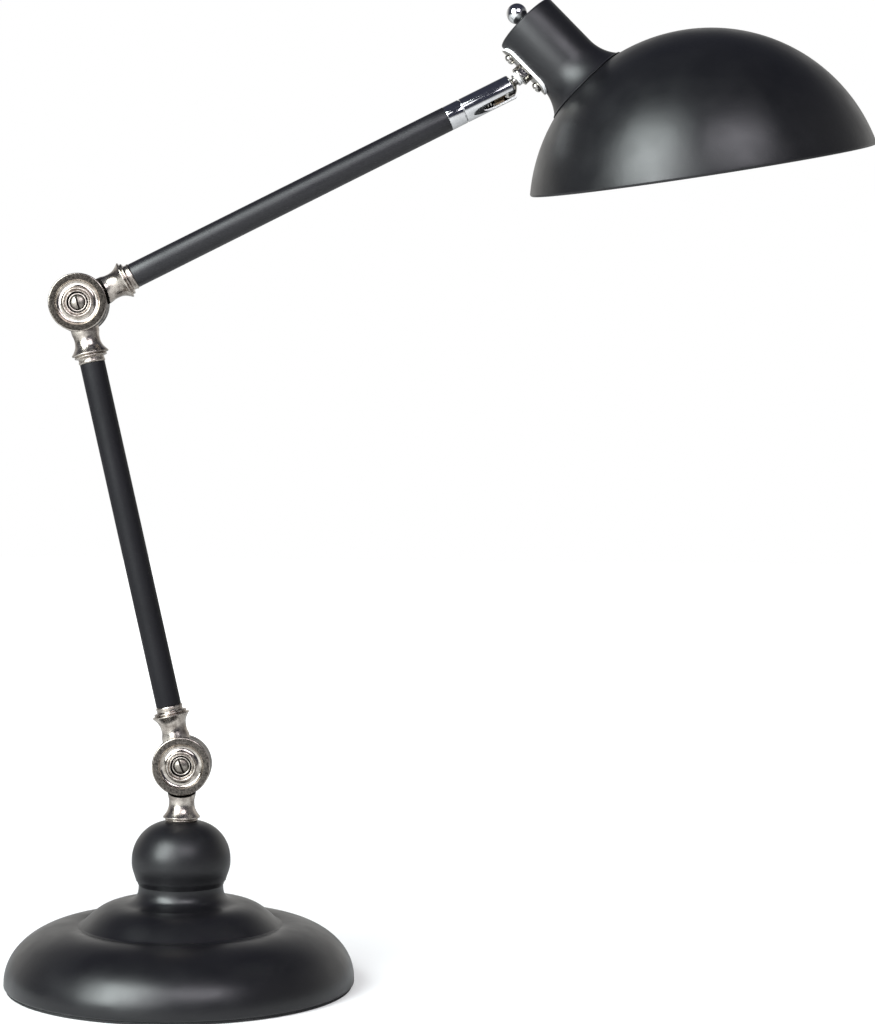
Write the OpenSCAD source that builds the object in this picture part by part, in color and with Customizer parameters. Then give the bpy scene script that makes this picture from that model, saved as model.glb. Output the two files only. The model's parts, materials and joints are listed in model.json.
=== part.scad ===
// Jointed desk lamp: spun steel base, two tube arms on disc knuckles, a slotted
// ball joint and a spun shade clamped to a lampholder cup.
// Millimetres, +Z up. The origin is on the table, under the centre of the base.
// The arms swing in the XZ plane, and the lamp is viewed along +Y.

/* [Pose in the photograph] */
// Lean of the lower arm to the left of the vertical, in degrees
lower_lean = 13; // [0:0.1:30]
// Angle of the upper arm from the vertical, in degrees
upper_angle = 62.7; // [50:0.1:80]
// Angle of the ball stud from the vertical, in degrees
stud_angle = 45.4; // [40:0.2:60]
// Turn of the head about the stud, the shade's end towards the viewer, in degrees
head_turn = -3; // [-10:0.5:10]
// Turn of the slot about the arm, from straight down towards the viewer, in degrees
slot_turn = 40; // [-60:5:60]
// Turn of the shade about the neck where the holder ring clamps it, in degrees
shade_turn = 18; // [-30:0.5:30]

/* [Base] */
// Outer radius of the base
base_r = 90.6; // [84:1:110]
// Wall of the spun base
base_wall = 1.6; // [1.2:0.1:2]
// Thickness of the foam pad
pad_t = 1.5; // [1:0.1:3]
// How far the pad stays inside the rim
pad_inset = 1.2; // [0.5:0.1:3]
// Width of the turned-in lip at the rim
lip_w = 9; // [6:0.5:12]
// Radius where the outer dome meets the raised step
step_r = 53; // [48:0.5:56]
// Height of that crease
step_z = 31.7; // [29:0.1:34]
// Radius of the raised step's shoulder
shoulder_r = 30; // [28:0.5:34]
// Height of the shoulder
shoulder_z = 43.4; // [42:0.1:45]
// Radius of the neck
neck_r = 21.9; // [20:0.1:24]
// Height of the joint between the neck and the ball-shaped collar
collar_z = 55; // [52:0.5:57]
// Largest radius of the ball-shaped collar
collar_r = 25.6; // [24.5:0.1:28]
// Height where it is widest
collar_mid = 64.5; // [62:0.5:68]
// Height of its top
collar_top = 85.4; // [82:0.2:88]
// How far the cast weight stays inside the rim
weight_gap = 12.6; // [11:0.1:24]
// Height of the weight's flat part
weight_h = 11; // [8:0.5:16]
// Radius of the hollow threaded nipple
nipple_r = 5; // [4.5:0.5:6]
// Radius of the nipple's bore
nipple_bore = 3; // [2:0.1:3.4]
// Width across the flats of the base nut
base_nut_af = 15; // [14:0.5:18]
// Height of the cord entry's centre
gland_z = 9.4; // [9.2:0.1:11]
// Radius of the cord entry's bore
gland_bore = 2.7; // [2:0.1:3]

/* [Knuckles] */
// Height of the lower hinge above the table
hinge_z = 114.8; // [112:0.2:125]
// Radius of the hinge discs
disc_r = 15.1; // [14.6:0.1:18]
// Half of the thickness over both discs
disc_t = 7.9; // [7:0.1:9]
// Thickness of the friction washer
washer_t = 0.6; // [0.4:0.1:1]
// Thickness of the fibre washer on top of the collar
top_washer_t = 0.5; // [0.3:0.1:1]
// Radius of the hinge screw
screw_r = 2.5; // [2:0.1:3]
// Radius of the hinge screw's head
screw_head_r = 3.7; // [3.4:0.1:4.4]
// Radius of the recess round the screw head
recess_r = 5.5; // [5.2:0.1:6]
// Depth of that recess
recess_d = 3.2; // [3:0.1:3.6]
// Depth of the turned groove in the disc's face
groove_d = 1.9; // [1:0.1:2.4]
// Waist radius of a ferrule
waist_r = 6.6; // [6:0.1:7.2]
// Flare radius of a ferrule
flare_r = 9.6; // [9:0.05:11]
// Distance from the hinge to the end of a ferrule where the tube starts
ferrule_len = 31.8; // [30:0.5:36]

/* [Arms] */
// Outer radius of the arm tubes
tube_r = 6.5; // [6:0.1:7]
// Wall of the arm tubes
tube_wall = 1; // [0.8:0.1:1.4]
// Visible length of each arm tube
tube_len = 182; // [150:1:240]
// Length of each spigot inside a tube
spigot_len = 10; // [6:1:16]
// Radius of the passage for the leads
lead_r = 2; // [1.4:0.1:2.4]

/* [Ball joint] */
// Length of the end collar
end_collar_len = 9; // [7:0.5:12]
// Length of the slotted sleeve
sleeve_len = 28.5; // [27:0.5:34]
// Outer radius of the sleeve
sleeve_r = 6.5; // [6.3:0.1:7]
// Radius of the ball
ball_r = 5.2; // [4.8:0.05:5.3]
// Depth of the ball's centre inside the mouth
ball_depth = 2.8; // [2.6:0.1:3.2]
// Width of the slot
slot_w = 5.2; // [4.6:0.1:6]
// Length of the slot from the mouth
slot_len = 19; // [15:0.5:20]
// Radius of the stud's neck next to the ball
stud_neck_r = 2.2; // [2:0.1:2.4]
// Radius of the stud's thread
stud_r = 3.75; // [3.4:0.05:4]
// Width across the flats of the lock nut
lock_nut_af = 9; // [8.6:0.1:10]

/* [Head] */
// Distance from the ball's centre to the axis of the lampholder cup
cup_offset = 31; // [30:0.5:34]
// Outer radius of the cup
cup_r = 17.4; // [16.5:0.1:19]
// Wall of the cup
cup_wall = 1.2; // [1:0.1:1.4]
// Distance from the stud back to the cup's closed end
cup_back = 19; // [17:0.2:22]
// Distance from the stud forward to the start of the cup's flare
cup_front = 12; // [11:0.2:14]
// Radius of the flare's hollow curve
flare_curve = 23; // [20:0.5:26]
// Length of the saddle plate
saddle_len = 32; // [29:0.5:34]
// Width of the saddle plate
saddle_w = 13; // [12:0.5:15]
// Thickness of the saddle plate
saddle_t = 1.6; // [1.4:0.1:2]
// Distance between the two saddle screws
saddle_pitch = 20.2; // [19:0.2:21.4]
// Radius of the ball-shaped switch knob
knob_r = 5.4; // [5:0.1:6]

/* [Shade] */
// Outer radius of the sphere that the shade is spun to
shade_r = 92.2; // [88:0.2:98]
// Wall of the shade
shade_wall = 1.2; // [0.8:0.1:1.4]
// Height of the sphere's centre below the rim plane
rim_z = 20; // [17:0.5:24]
// Angle between the shade's own axis and the cup's axis, in degrees
shade_tilt = 36.5; // [30:0.5:40]
// Radius of the lampholder's threaded skirt
skirt_r = 11.9; // [11.6:0.1:12.4]
// Radius of the lamp bulb
bulb_r = 22.5; // [20:0.5:22.5]
// Length of the bulb over its cap
bulb_len = 78; // [74:1:80]

/* [Hidden] */
$fn = 96;
eps = 0.01;
// Radial clearance of a pin or a shaft that turns in its hole
run_gap = 0.05;
// Radial clearance of a piece that slides into place and stays there
slip_gap = 0.05;
// Gap between flat faces that rub past each other
face_gap = 0.05;
// Clearance of a free piece from its neighbour
free_gap = 0.4;
curve_steps = 10;
black = [0.13, 0.135, 0.14];
nickel = [0.72, 0.69, 0.65];
chrome = [0.83, 0.84, 0.86];

weight_r = base_r - weight_gap;
tube_bore = tube_r - tube_wall;
arm_len = 2 * ferrule_len + tube_len;
knuckle_base = collar_top + top_washer_t;
disc_face = washer_t / 2 + face_gap;
recess_floor = disc_t - recess_d;
screw_head_h = 1.9;
hinge_nut_h = 2.4;
hinge_nut_af = 8;
groove_in = recess_r + 1.9;
groove_out = 11.6;
root_s = 12.3;
chamber_in = 4.6;
chamber_out = 10.6;
chamber_floor = 3.4;
relief_r = disc_r + 0.9;
sleeve_s = ferrule_len + tube_len + end_collar_len + 0.1;
ball_s = sleeve_s + sleeve_len - ball_depth;
sleeve_floor = 3;
sleeve_bore = ball_r + 0.1;
bolt_r = 3;
bolt_head_r = 4.5;
bolt_head_h = 2.4;
seat_h = 5;
thread_start = ball_r + 0.7;
saddle_in = cup_r + slip_gap;
saddle_out = saddle_in + saddle_t;
saddle_flat = saddle_out - 0.75;
flange_h = 1;
nut_top = cup_offset - saddle_flat - face_gap;
nut_h = 3;
saddle_screw_r = 1.5;
saddle_screw_head = 2.8;
flare_angle = 44.6;
flare_mid = [cup_r + flare_curve, cup_front];
seam_r = cup_r + flare_curve * (1 - cos(flare_angle));
seam_z = cup_front + flare_curve * sin(flare_angle);
shade_z = seam_z + sqrt(shade_r * shade_r - seam_r * seam_r);
skirt_hole = skirt_r + 0.2;
shade_in = shade_r - shade_wall;
shoulder_top = shade_z - sqrt(shade_r * shade_r - skirt_hole * skirt_hole) - face_gap;
ring_out = 16;
ring_top = shade_z - sqrt(shade_in * shade_in - ring_out * ring_out) + face_gap;
ring_h = 3.6;
skirt_end = ring_top + ring_h;
switch_r = 11.5;
switch_end = -3;
holder_floor = 5.6;
contact_z = switch_end + holder_floor;
bulb_tip = contact_z + 1;
bulb_mid = bulb_tip + bulb_len - bulb_r;
cap_r = 6.8;
cap_end = bulb_tip + 22.5;
knob_gap = 0.3;
knob_z = -cup_back - knob_gap - knob_r;
stem_r = 1.9;

// Points of a cubic curve
function bezier(a, b, c, d, n = curve_steps) = [
    for (i = [0 : n])
        let (t = i / n, u = 1 - t)
        u * u * u * a + 3 * u * u * t * b + 3 * u * t * t * c + t * t * t * d
];

// Points of an arc of radius r about centre c, from angle a to angle b
function arc(c, r, a, b, n = curve_steps) = [
    for (i = [0 : n])
        let (t = a + (b - a) * i / n)
        [c.x + r * cos(t), c.y + r * sin(t)]
];

function reversed(p) = [for (i = [len(p) - 1 : -1 : 0]) p[i]];

// A path moved sideways by d, to the right of its direction of travel
function beside(p, d) = [
    for (i = [0 : len(p) - 1])
        let (
            a = p[max(i - 1, 0)],
            b = p[min(i + 1, len(p) - 1)],
            v = (b - a) / norm(b - a)
        )
        [p[i].x + d * v.y, p[i].y - d * v.x]
];

// Where each assembly stands
module at_lower_arm() {
    translate([0, 0, hinge_z]) rotate([0, -lower_lean, 0]) children();
}

module at_elbow() {
    at_lower_arm() translate([0, 0, arm_len]) rotate([0, lower_lean, 0]) children();
}

module at_upper_arm() {
    at_elbow() rotate([0, upper_angle, 0]) children();
}

module at_sleeve() {
    at_upper_arm() translate([0, 0, sleeve_s]) children();
}

// Origin at the ball's centre, +Z along the stud, +X along the cup towards the shade
module at_head() {
    at_upper_arm() translate([0, 0, ball_s]) rotate([0, stud_angle - upper_angle, 0])
        rotate([0, 0, head_turn]) children();
}

// Origin where the stud's axis meets the cup's axis, +Z towards the shade, +X towards the ball
module at_cup() {
    at_head() translate([0, 0, cup_offset]) rotate([0, 90, 0]) children();
}

// Origin at the centre of the shade's sphere, +Z up the shade's own axis
module at_shade() {
    at_cup() translate([0, 0, shade_z]) rotate([0, 0, shade_turn])
        rotate([0, 180 + shade_tilt, 0]) children();
}

// Base

// Outside of the spun base, from the rim up to the neck
base_outer = concat(
    [[base_r - lip_w, pad_t], [base_r - 0.8, pad_t], [base_r, pad_t + 0.8]],
    bezier([base_r, pad_t + 2.2], [base_r, step_z - 7],
           [step_r + 11.5, step_z + 3.2], [step_r, step_z], 16),
    bezier([step_r - 1.2, step_z + 0.4], [step_r - 7.6, step_z + 6],
           [shoulder_r + 11, shoulder_z - 0.1], [shoulder_r, shoulder_z]),
    bezier([shoulder_r - 1.2, shoulder_z + 0.15], [neck_r + 1.2, shoulder_z + 1.2],
           [neck_r, shoulder_z + 4.2], [neck_r, collar_z - 2.6]),
    [[neck_r + 0.9, collar_z - 0.5], [neck_r + 1.1, collar_z]]
);

module base_shell() {
    wall_path = beside([for (i = [3 : len(base_outer) - 3]) base_outer[i]], -base_wall);
    color(black)
    difference() {
        rotate_extrude()
            polygon(concat(
                base_outer,
                [[nipple_r + 0.2, collar_z], [nipple_r + 0.2, collar_z - base_wall]],
                [[neck_r - base_wall, collar_z - base_wall]],
                reversed(wall_path),
                [[base_r - base_wall, pad_t + base_wall], [base_r - lip_w, pad_t + base_wall]]
            ));
        translate([0, base_r - 9, gland_z]) rotate([-90, 0, 0])
            cylinder(r = gland_bore + 1.3, h = 12, $fn = 48);
    }
}

module base_collar() {
    outer = concat(
        bezier([neck_r + 1.4, collar_z], [collar_r - 1.7, collar_z + 3],
               [collar_r, collar_mid - 4], [collar_r, collar_mid], 7),
        bezier([collar_r, collar_mid + 1], [collar_r, collar_mid + 12],
               [17.4, collar_top - 0.8], [8.4, collar_top], 14)
    );
    wall_path = beside(outer, -base_wall);
    last = len(wall_path) - 2;
    color(black)
    rotate_extrude()
        polygon(concat(
            [[nipple_r + 0.2, collar_z]],
            outer,
            [[nipple_r + 0.2, collar_top], [nipple_r + 0.2, collar_top - base_wall]],
            [for (i = [last : -1 : 2]) wall_path[i]],
            [[neck_r, collar_z + base_wall], [nipple_r + 0.2, collar_z + base_wall]]
        ));
}

// Cast iron ring with a hub that carries the clamping force of the nipple
module base_weight() {
    under = pad_t + 0.2;
    pocket_r = 13;
    pocket_top = under + 7.6;
    hub_r = 10;
    slot = 2 * gland_bore + 2.6;
    color([0.2, 0.2, 0.2])
    difference() {
        rotate_extrude()
            polygon(concat(
                [[nipple_r + 0.2, pocket_top], [pocket_r, pocket_top], [pocket_r, under]],
                [[weight_r, under], [weight_r, weight_h - 3]],
                bezier([weight_r - 2, weight_h], [weight_r - 26, weight_h + 4],
                       [hub_r + 14, weight_h + 6], [hub_r + 4, weight_h + 9], 6),
                [[hub_r, weight_h + 16], [hub_r, collar_z - base_wall]],
                [[nipple_r + 0.2, collar_z - base_wall]]
            ));
        translate([-slot / 2, pocket_r - 2, under - 1])
            cube([slot, weight_r, pocket_top - under + 1]);
    }
}

module base_pad() {
    color([0.08, 0.08, 0.08])
    cylinder(r = base_r - pad_inset, h = pad_t);
}

module base_nipple() {
    color(nickel)
    translate([0, 0, pad_t + 0.8])
        difference() {
            cylinder(r = nipple_r, h = knuckle_base + 7 - pad_t - 0.8, $fn = 64);
            translate([0, 0, -1]) cylinder(r = nipple_bore, h = hinge_z, $fn = 48);
        }
}

module base_washer() {
    top = pad_t + 7.8;
    color(nickel)
    translate([0, 0, top - 1.6])
        difference() {
            cylinder(r = 11.5, h = 1.6);
            translate([0, 0, -1]) cylinder(r = nipple_r + 0.15, h = 4, $fn = 64);
        }
}

module base_nut() {
    top = pad_t + 6.2;
    color(nickel)
    translate([0, 0, top - 4.6])
        difference() {
            cylinder(d = base_nut_af / cos(30), h = 4.6, $fn = 6);
            translate([0, 0, -1]) cylinder(r = nipple_r + slip_gap, h = 7, $fn = 64);
        }
}

// Fibre washer that shows as a thin dark line under the base knuckle
module collar_washer() {
    color([0.1, 0.1, 0.1])
    translate([0, 0, collar_top])
        difference() {
            cylinder(r = 8, h = top_washer_t);
            translate([0, 0, -1]) cylinder(r = nipple_r + 0.2, h = 4, $fn = 64);
        }
}

// Rubber bush in the back of the base, where the cord goes in
module cord_gland() {
    body_r = gland_bore + 1.2;
    flange = body_r + 1;
    color([0.06, 0.06, 0.06])
    difference() {
        translate([0, base_r - base_wall - 4.4, gland_z]) rotate([-90, 0, 0]) {
            cylinder(r = flange, h = 1.5, $fn = 48);
            cylinder(r = body_r, h = base_wall + 6, $fn = 48);
            translate([0, 0, base_wall + 4.6]) cylinder(r = flange, h = 1.4, $fn = 48);
        }
        translate([0, base_r - base_wall - 6, gland_z]) rotate([-90, 0, 0])
            cylinder(r = gland_bore, h = 12, $fn = 48);
    }
}

// Knuckles

// Half profile of a ferrule, from its root in the disc to the ring at its end
function ferrule_path(end_s, with_ring) = let (
        flare_s = end_s - (with_ring ? 5.4 : 2.2),
        waist_s = 19.4,
        end_r = with_ring ? tube_r + 0.4 : 8.6
    )
    concat(
        [[0, root_s], [waist_r + 0.8, root_s], [waist_r + 0.6, 15.8]],
        [[waist_r + 0.1, 17.6], [waist_r, waist_s - 0.6]],
        bezier([waist_r, waist_s + 0.4], [waist_r + 0.1, waist_s + 3.4],
               [flare_r - 1.9, flare_s - 2.2], [flare_r, flare_s], 8),
        [[flare_r, flare_s + 0.6], [flare_r - 1.5, flare_s + 1]],
        arc([flare_r - 1.65, flare_s + 1.65], 0.55, -70, 80, 5),
        with_ring
            ? concat([[end_r - 0.2, flare_s + 2.6]],
                     arc([end_r - 0.9, end_s - 0.95], 0.95, -40, 90, 4),
                     [[0, end_s]])
            : [[end_r - 0.9, end_s], [0, end_s]]
    );

// Turned face of a hinge disc, as radius and height
disc_profile = concat(
    [[0, disc_face], [disc_r - 0.5, disc_face], [disc_r, disc_face + 0.5]],
    [[disc_r, disc_t - 0.7]],
    arc([disc_r - 0.7, disc_t - 0.7], 0.7, 0, 90, 4),
    [[groove_out + 0.15, disc_t]],
    bezier([groove_out, disc_t - 0.15], [groove_out - 0.3, disc_t - groove_d],
           [groove_in + 1.6, disc_t - groove_d], [groove_in + 0.35, disc_t - 0.7], 8),
    arc([groove_in - 0.25, disc_t - 0.6], 0.6, 0, 160, 6),
    [[groove_in - 1.1, disc_t - 1], [recess_r + 0.7, disc_t - 1]],
    [[recess_r + 0.5, disc_t - 0.7], [recess_r, disc_t - 0.7], [0, disc_t - 0.7]]
);

// One half of a hinge, ferrule along +Z and the disc on the side of Y that side says
module knuckle(side, end_s, with_ring) {
    difference() {
        union() {
            rotate([-90 * side, 0, 0]) rotate_extrude() polygon(disc_profile);
            difference() {
                rotate_extrude() polygon(ferrule_path(end_s, with_ring));
                scale([1, side, 1]) translate([0, disc_face, 0]) rotate([90, 0, 0])
                    cylinder(r = relief_r, h = disc_t + 4);
            }
            if (with_ring)
                translate([0, 0, end_s - 1]) cylinder(r = tube_bore - slip_gap, h = spigot_len + 1);
        }
        rotate([-90 * side, 0, 0]) {
            translate([0, 0, -eps]) cylinder(r = screw_r + run_gap, h = disc_t + 1, $fn = 64);
            translate([0, 0, recess_floor]) cylinder(r = recess_r, h = recess_d, $fn = 72);
            difference() {
                translate([0, 0, -eps]) cylinder(r = chamber_out, h = chamber_floor);
                translate([0, 0, -1]) cylinder(r = chamber_in, h = chamber_floor + 2);
            }
        }
        translate([0, side * lead_r, chamber_out - 2])
            cylinder(r = lead_r, h = arm_len, $fn = 48);
    }
}

module base_knuckle() {
    stub = hinge_z - knuckle_base;
    color(nickel)
    translate([0, 0, hinge_z]) rotate([0, 180, 0])
        difference() {
            knuckle(1, stub, false);
            translate([0, 0, stub - 8]) cylinder(r = nipple_r + slip_gap, h = 9, $fn = 64);
        }
}

module lower_arm_knuckle() {
    color(nickel) at_lower_arm() knuckle(-1, ferrule_len, true);
}

module elbow_front_knuckle() {
    color(nickel)
    at_lower_arm() translate([0, 0, arm_len]) rotate([0, 180, 0]) knuckle(-1, ferrule_len, true);
}

module elbow_rear_knuckle() {
    color(nickel) at_upper_arm() knuckle(1, ferrule_len, true);
}

module friction_washer() {
    color([0.25, 0.2, 0.15])
    rotate([90, 0, 0])
        difference() {
            translate([0, 0, -washer_t / 2]) cylinder(r = disc_r - 0.6, h = washer_t);
            translate([0, 0, -washer_t]) cylinder(r = chamber_out + 0.4, h = 2 * washer_t);
        }
}

// Slotted screw with its head in the front recess
module hinge_screw(lean) {
    slot_w = 1;
    color(nickel)
    rotate([90, 0, 0])
        difference() {
            rotate_extrude($fn = 72)
                polygon(concat(
                    [[0, -disc_t + 0.9], [screw_r, -disc_t + 0.9], [screw_r, recess_floor]],
                    [[screw_head_r, recess_floor], [screw_head_r, recess_floor + 1]],
                    bezier([screw_head_r, recess_floor + 1.1], [screw_head_r - 0.3, recess_floor + 1.7],
                           [1.6, recess_floor + screw_head_h + 0.4],
                           [0, recess_floor + screw_head_h + 0.4], 6)
                ));
            rotate([0, 0, lean])
                translate([-slot_w / 2, -disc_r, recess_floor + 1]) cube([slot_w, 2 * disc_r, 4]);
        }
}

module hinge_nut() {
    color(nickel)
    rotate([-90, 0, 0])
        difference() {
            translate([0, 0, recess_floor + face_gap])
                cylinder(d = hinge_nut_af / cos(30), h = hinge_nut_h, $fn = 6);
            cylinder(r = screw_r + slip_gap, h = disc_t + 1, $fn = 64);
        }
}

module lower_friction_washer() {
    at_lower_arm() friction_washer();
}

module lower_hinge_screw() {
    at_lower_arm() hinge_screw(lean = 8);
}

module lower_hinge_nut() {
    at_lower_arm() hinge_nut();
}

module elbow_friction_washer() {
    at_elbow() friction_washer();
}

module elbow_screw() {
    at_elbow() hinge_screw(lean = 16);
}

module elbow_nut() {
    at_elbow() hinge_nut();
}

// Arms

module arm_tube() {
    color(black)
    translate([0, 0, ferrule_len])
        difference() {
            cylinder(r = tube_r, h = tube_len);
            translate([0, 0, -1]) cylinder(r = tube_bore, h = tube_len + 2);
        }
}

module lower_arm_tube() {
    at_lower_arm() arm_tube();
}

module upper_arm_tube() {
    at_upper_arm() arm_tube();
}

module arm_end_collar() {
    color(chrome)
    at_upper_arm() translate([0, 0, ferrule_len + tube_len])
        difference() {
            union() {
                rotate_extrude()
                    polygon([
                        [0, 0], [sleeve_r - 0.15, 0], [sleeve_r, 0.15], [sleeve_r, end_collar_len - 0.4],
                        [sleeve_r - 0.4, end_collar_len], [0, end_collar_len]
                    ]);
                translate([0, 0, -spigot_len])
                    cylinder(r = tube_bore - slip_gap, h = spigot_len + 1);
            }
            translate([0, 0, -spigot_len - 1])
                cylinder(r = bolt_r + slip_gap, h = spigot_len + end_collar_len + 2, $fn = 64);
        }
}

// Hollow bolt that the sleeve turns on
module swivel_bolt() {
    under = -end_collar_len - 8;
    head = sleeve_floor + 0.1;
    color(chrome)
    at_sleeve()
        difference() {
            rotate_extrude($fn = 64)
                polygon([
                    [0, under], [bolt_r, under], [bolt_r, head], [bolt_head_r, head],
                    [bolt_head_r, head + bolt_head_h - 0.5], [bolt_head_r - 0.5, head + bolt_head_h],
                    [0, head + bolt_head_h]
                ]);
            translate([0, 0, under - 1])
                cylinder(r = lead_r - 0.3, h = head + bolt_head_h - under + 2, $fn = 48);
        }
}

// Ball joint

// Pointed slot that a large cutter leaves, drawn in the plane of its width and the axis
slot_shape = concat(
    [for (i = [0 : 8]) [slot_w / 2 * sin(i * 90 / 8), sleeve_len - slot_len + pow(i / 8, 1.5) * 8]],
    [[slot_w / 2, sleeve_len + 2], [-slot_w / 2, sleeve_len + 2]],
    [for (i = [8 : -1 : 1]) [-slot_w / 2 * sin(i * 90 / 8), sleeve_len - slot_len + pow(i / 8, 1.5) * 8]]
);

module ball_sleeve() {
    color(chrome)
    at_sleeve()
        difference() {
            rotate_extrude()
                polygon([
                    [0, 0], [sleeve_r - 0.4, 0], [sleeve_r, 0.4], [sleeve_r, sleeve_len - 0.9],
                    [sleeve_r - 0.3, sleeve_len - 0.3], [sleeve_r - 0.9, sleeve_len], [0, sleeve_len]
                ]);
            translate([0, 0, -1]) cylinder(r = bolt_r + run_gap, h = sleeve_floor + 2, $fn = 64);
            translate([0, 0, sleeve_floor])
                cylinder(r = sleeve_bore, h = sleeve_len - ball_depth - sleeve_floor);
            translate([0, 0, sleeve_len - ball_depth]) sphere(r = ball_r + 0.08);
            rotate([0, 0, -slot_turn]) rotate([90, 0, 90])
                linear_extrude(height = 2 * sleeve_r) mirror([1, 0]) polygon(slot_shape);
        }
}

// Rings of a coil spring, joined into one closed sweep
module ball_spring() {
    wire = 0.5;
    coil_r = 4.2;
    turns = 6;
    sides = 6;
    rings = turns * 16;
    low = sleeve_floor + bolt_head_h + 0.3 + wire;
    high = sleeve_len - ball_depth - ball_r - seat_h + 1 - 0.2 - wire;
    points = [
        for (k = [0 : rings]) let (a = 360 * turns * k / rings, z = low + (high - low) * k / rings)
        for (j = [0 : sides - 1]) let (b = 360 * j / sides)
        [(coil_r + wire * cos(b)) * cos(a), (coil_r + wire * cos(b)) * sin(a), z + wire * sin(b)]
    ];
    walls = [
        for (k = [0 : rings - 1]) for (j = [0 : sides - 1])
        let (p = k * sides + j, q = k * sides + (j + 1) % sides)
        each [[p, p + sides, q + sides], [p, q + sides, q]]
    ];
    start = [for (j = [1 : sides - 2]) [0, j, j + 1]];
    finish = [for (j = [1 : sides - 2]) [rings * sides, rings * sides + j + 1, rings * sides + j]];
    color([0.6, 0.6, 0.6])
    at_sleeve() polyhedron(concat(points), concat(walls, start, finish));
}

module ball_seat() {
    top = sleeve_len - ball_depth - ball_r + 1;
    color([0.75, 0.6, 0.3])
    at_sleeve()
        difference() {
            translate([0, 0, top - seat_h]) cylinder(r = sleeve_bore - 0.1, h = seat_h);
            translate([0, 0, sleeve_len - ball_depth]) sphere(r = ball_r + 0.08);
            translate([0, 0, top - seat_h - 1]) cylinder(r = lead_r, h = seat_h + 2, $fn = 48);
        }
}

module ball_stud() {
    tip = cup_offset - cup_r + cup_wall + 0.3;
    color(chrome)
    at_head()
        difference() {
            union() {
                sphere(r = ball_r);
                cylinder(r = stud_neck_r, h = thread_start + 1, $fn = 64);
                translate([0, 0, thread_start]) rotate_extrude($fn = 64)
                    polygon([
                        [0, 0], [stud_r - 0.4, 0], [stud_r, 0.4], [stud_r, tip - thread_start - 0.4],
                        [stud_r - 0.4, tip - thread_start], [0, tip - thread_start]
                    ]);
            }
            translate([0, 0, -2 * ball_r]) cylinder(r = 1.2, h = 2 * cup_offset, $fn = 32);
        }
}

module lock_nut() {
    color(chrome)
    at_head() translate([0, 0, nut_top - nut_h - flange_h])
        difference() {
            union() {
                cylinder(d = lock_nut_af / cos(30), h = nut_h + flange_h, $fn = 6);
                cylinder(d = lock_nut_af / cos(30) + 0.2, h = flange_h, $fn = 64);
            }
            translate([0, 0, -1]) cylinder(r = stud_r + slip_gap, h = 8, $fn = 64);
        }
}

// Head

// The saddle plate's outline: a bar with round ends
module saddle_outline() {
    run = (saddle_len - saddle_w) / 2;
    union() {
        translate([-saddle_w / 2, -run]) square([saddle_w, 2 * run]);
        translate([0, run]) circle(d = saddle_w, $fn = 64);
        translate([0, -run]) circle(d = saddle_w, $fn = 64);
    }
}

// Holes through the saddle and the cup, drilled from the ball's side
module saddle_holes(stud_hole) {
    rotate([0, 90, 0]) cylinder(r = stud_hole, h = cup_r + 6, $fn = 64);
    for (s = [-1, 1])
        translate([0, 0, s * saddle_pitch / 2]) rotate([0, 90, 0])
            cylinder(r = saddle_screw_r + slip_gap, h = cup_r + 6, $fn = 48);
}

module saddle_plate() {
    color(chrome)
    at_cup()
        difference() {
            intersection() {
                difference() {
                    translate([0, 0, -saddle_len]) cylinder(r = saddle_out, h = 2 * saddle_len);
                    translate([0, 0, -saddle_len - 1]) cylinder(r = saddle_in, h = 2 * saddle_len + 2);
                }
                rotate([90, 0, 90]) linear_extrude(height = cup_r + 6) saddle_outline();
            }
            saddle_holes(stud_r + run_gap);
            rotate_extrude()
                polygon(concat(
                    [[0, cup_front]], arc(flare_mid, flare_curve - slip_gap, 180, 180 - flare_angle, 14),
                    [[0, seam_z]]
                ));
            translate([saddle_flat, 0, 0]) rotate([0, 90, 0])
                cylinder(r = lock_nut_af / 2 / cos(30) + 0.4, h = 4, $fn = 64);
        }
}

module saddle_screws() {
    color(chrome)
    at_cup()
        for (s = [-1, 1])
            translate([0, 0, s * saddle_pitch / 2]) rotate([0, 90, 0])
                difference() {
                    rotate_extrude($fn = 48)
                        polygon(concat(
                            [[0, cup_r - cup_wall - 2], [saddle_screw_r, cup_r - cup_wall - 2]],
                            [[saddle_screw_r, saddle_out + eps], [saddle_screw_head, saddle_out + eps]],
                            bezier([saddle_screw_head, saddle_out + 0.7], [saddle_screw_head, saddle_out + 1.5],
                                   [1.8, saddle_out + 2], [0, saddle_out + 2], 5)
                        ));
                    translate([-0.4, -4, saddle_out + 1.1]) cube([0.8, 8, 2]);
                }
}

// Lampholder cup: closed end, straight wall and the flare that sits on the shade
module lampholder_cup() {
    edge_r = 3;
    edge_h = 1.2;
    color(black)
    at_cup()
        difference() {
            rotate_extrude()
                polygon(concat(
                    [[0, -cup_back], [cup_r - edge_r, -cup_back]],
                    [for (i = [1 : 6]) [cup_r - edge_r + edge_r * sin(i * 15),
                                        -cup_back + edge_h * (1 - cos(i * 15))]],
                    arc(flare_mid, flare_curve, 180, 180 - flare_angle, 14),
                    [[seam_r - 0.2, seam_z + 1.2], [seam_r - 1.6, seam_z + 1.2]],
                    arc(flare_mid, flare_curve + cup_wall, 180 - flare_angle + 1, 180, 14),
                    [[cup_r - cup_wall, -cup_back + edge_h + 0.8], [cup_r - edge_r, -cup_back + cup_wall]],
                    [[0, -cup_back + cup_wall]]
                ));
            translate([0, 0, shade_z]) sphere(r = shade_r + 0.02, $fn = 256);
            translate([0, 0, -cup_back - 1]) cylinder(r = 4 + slip_gap, h = cup_wall + 2, $fn = 64);
            saddle_holes(stud_r + run_gap);
        }
}

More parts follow.
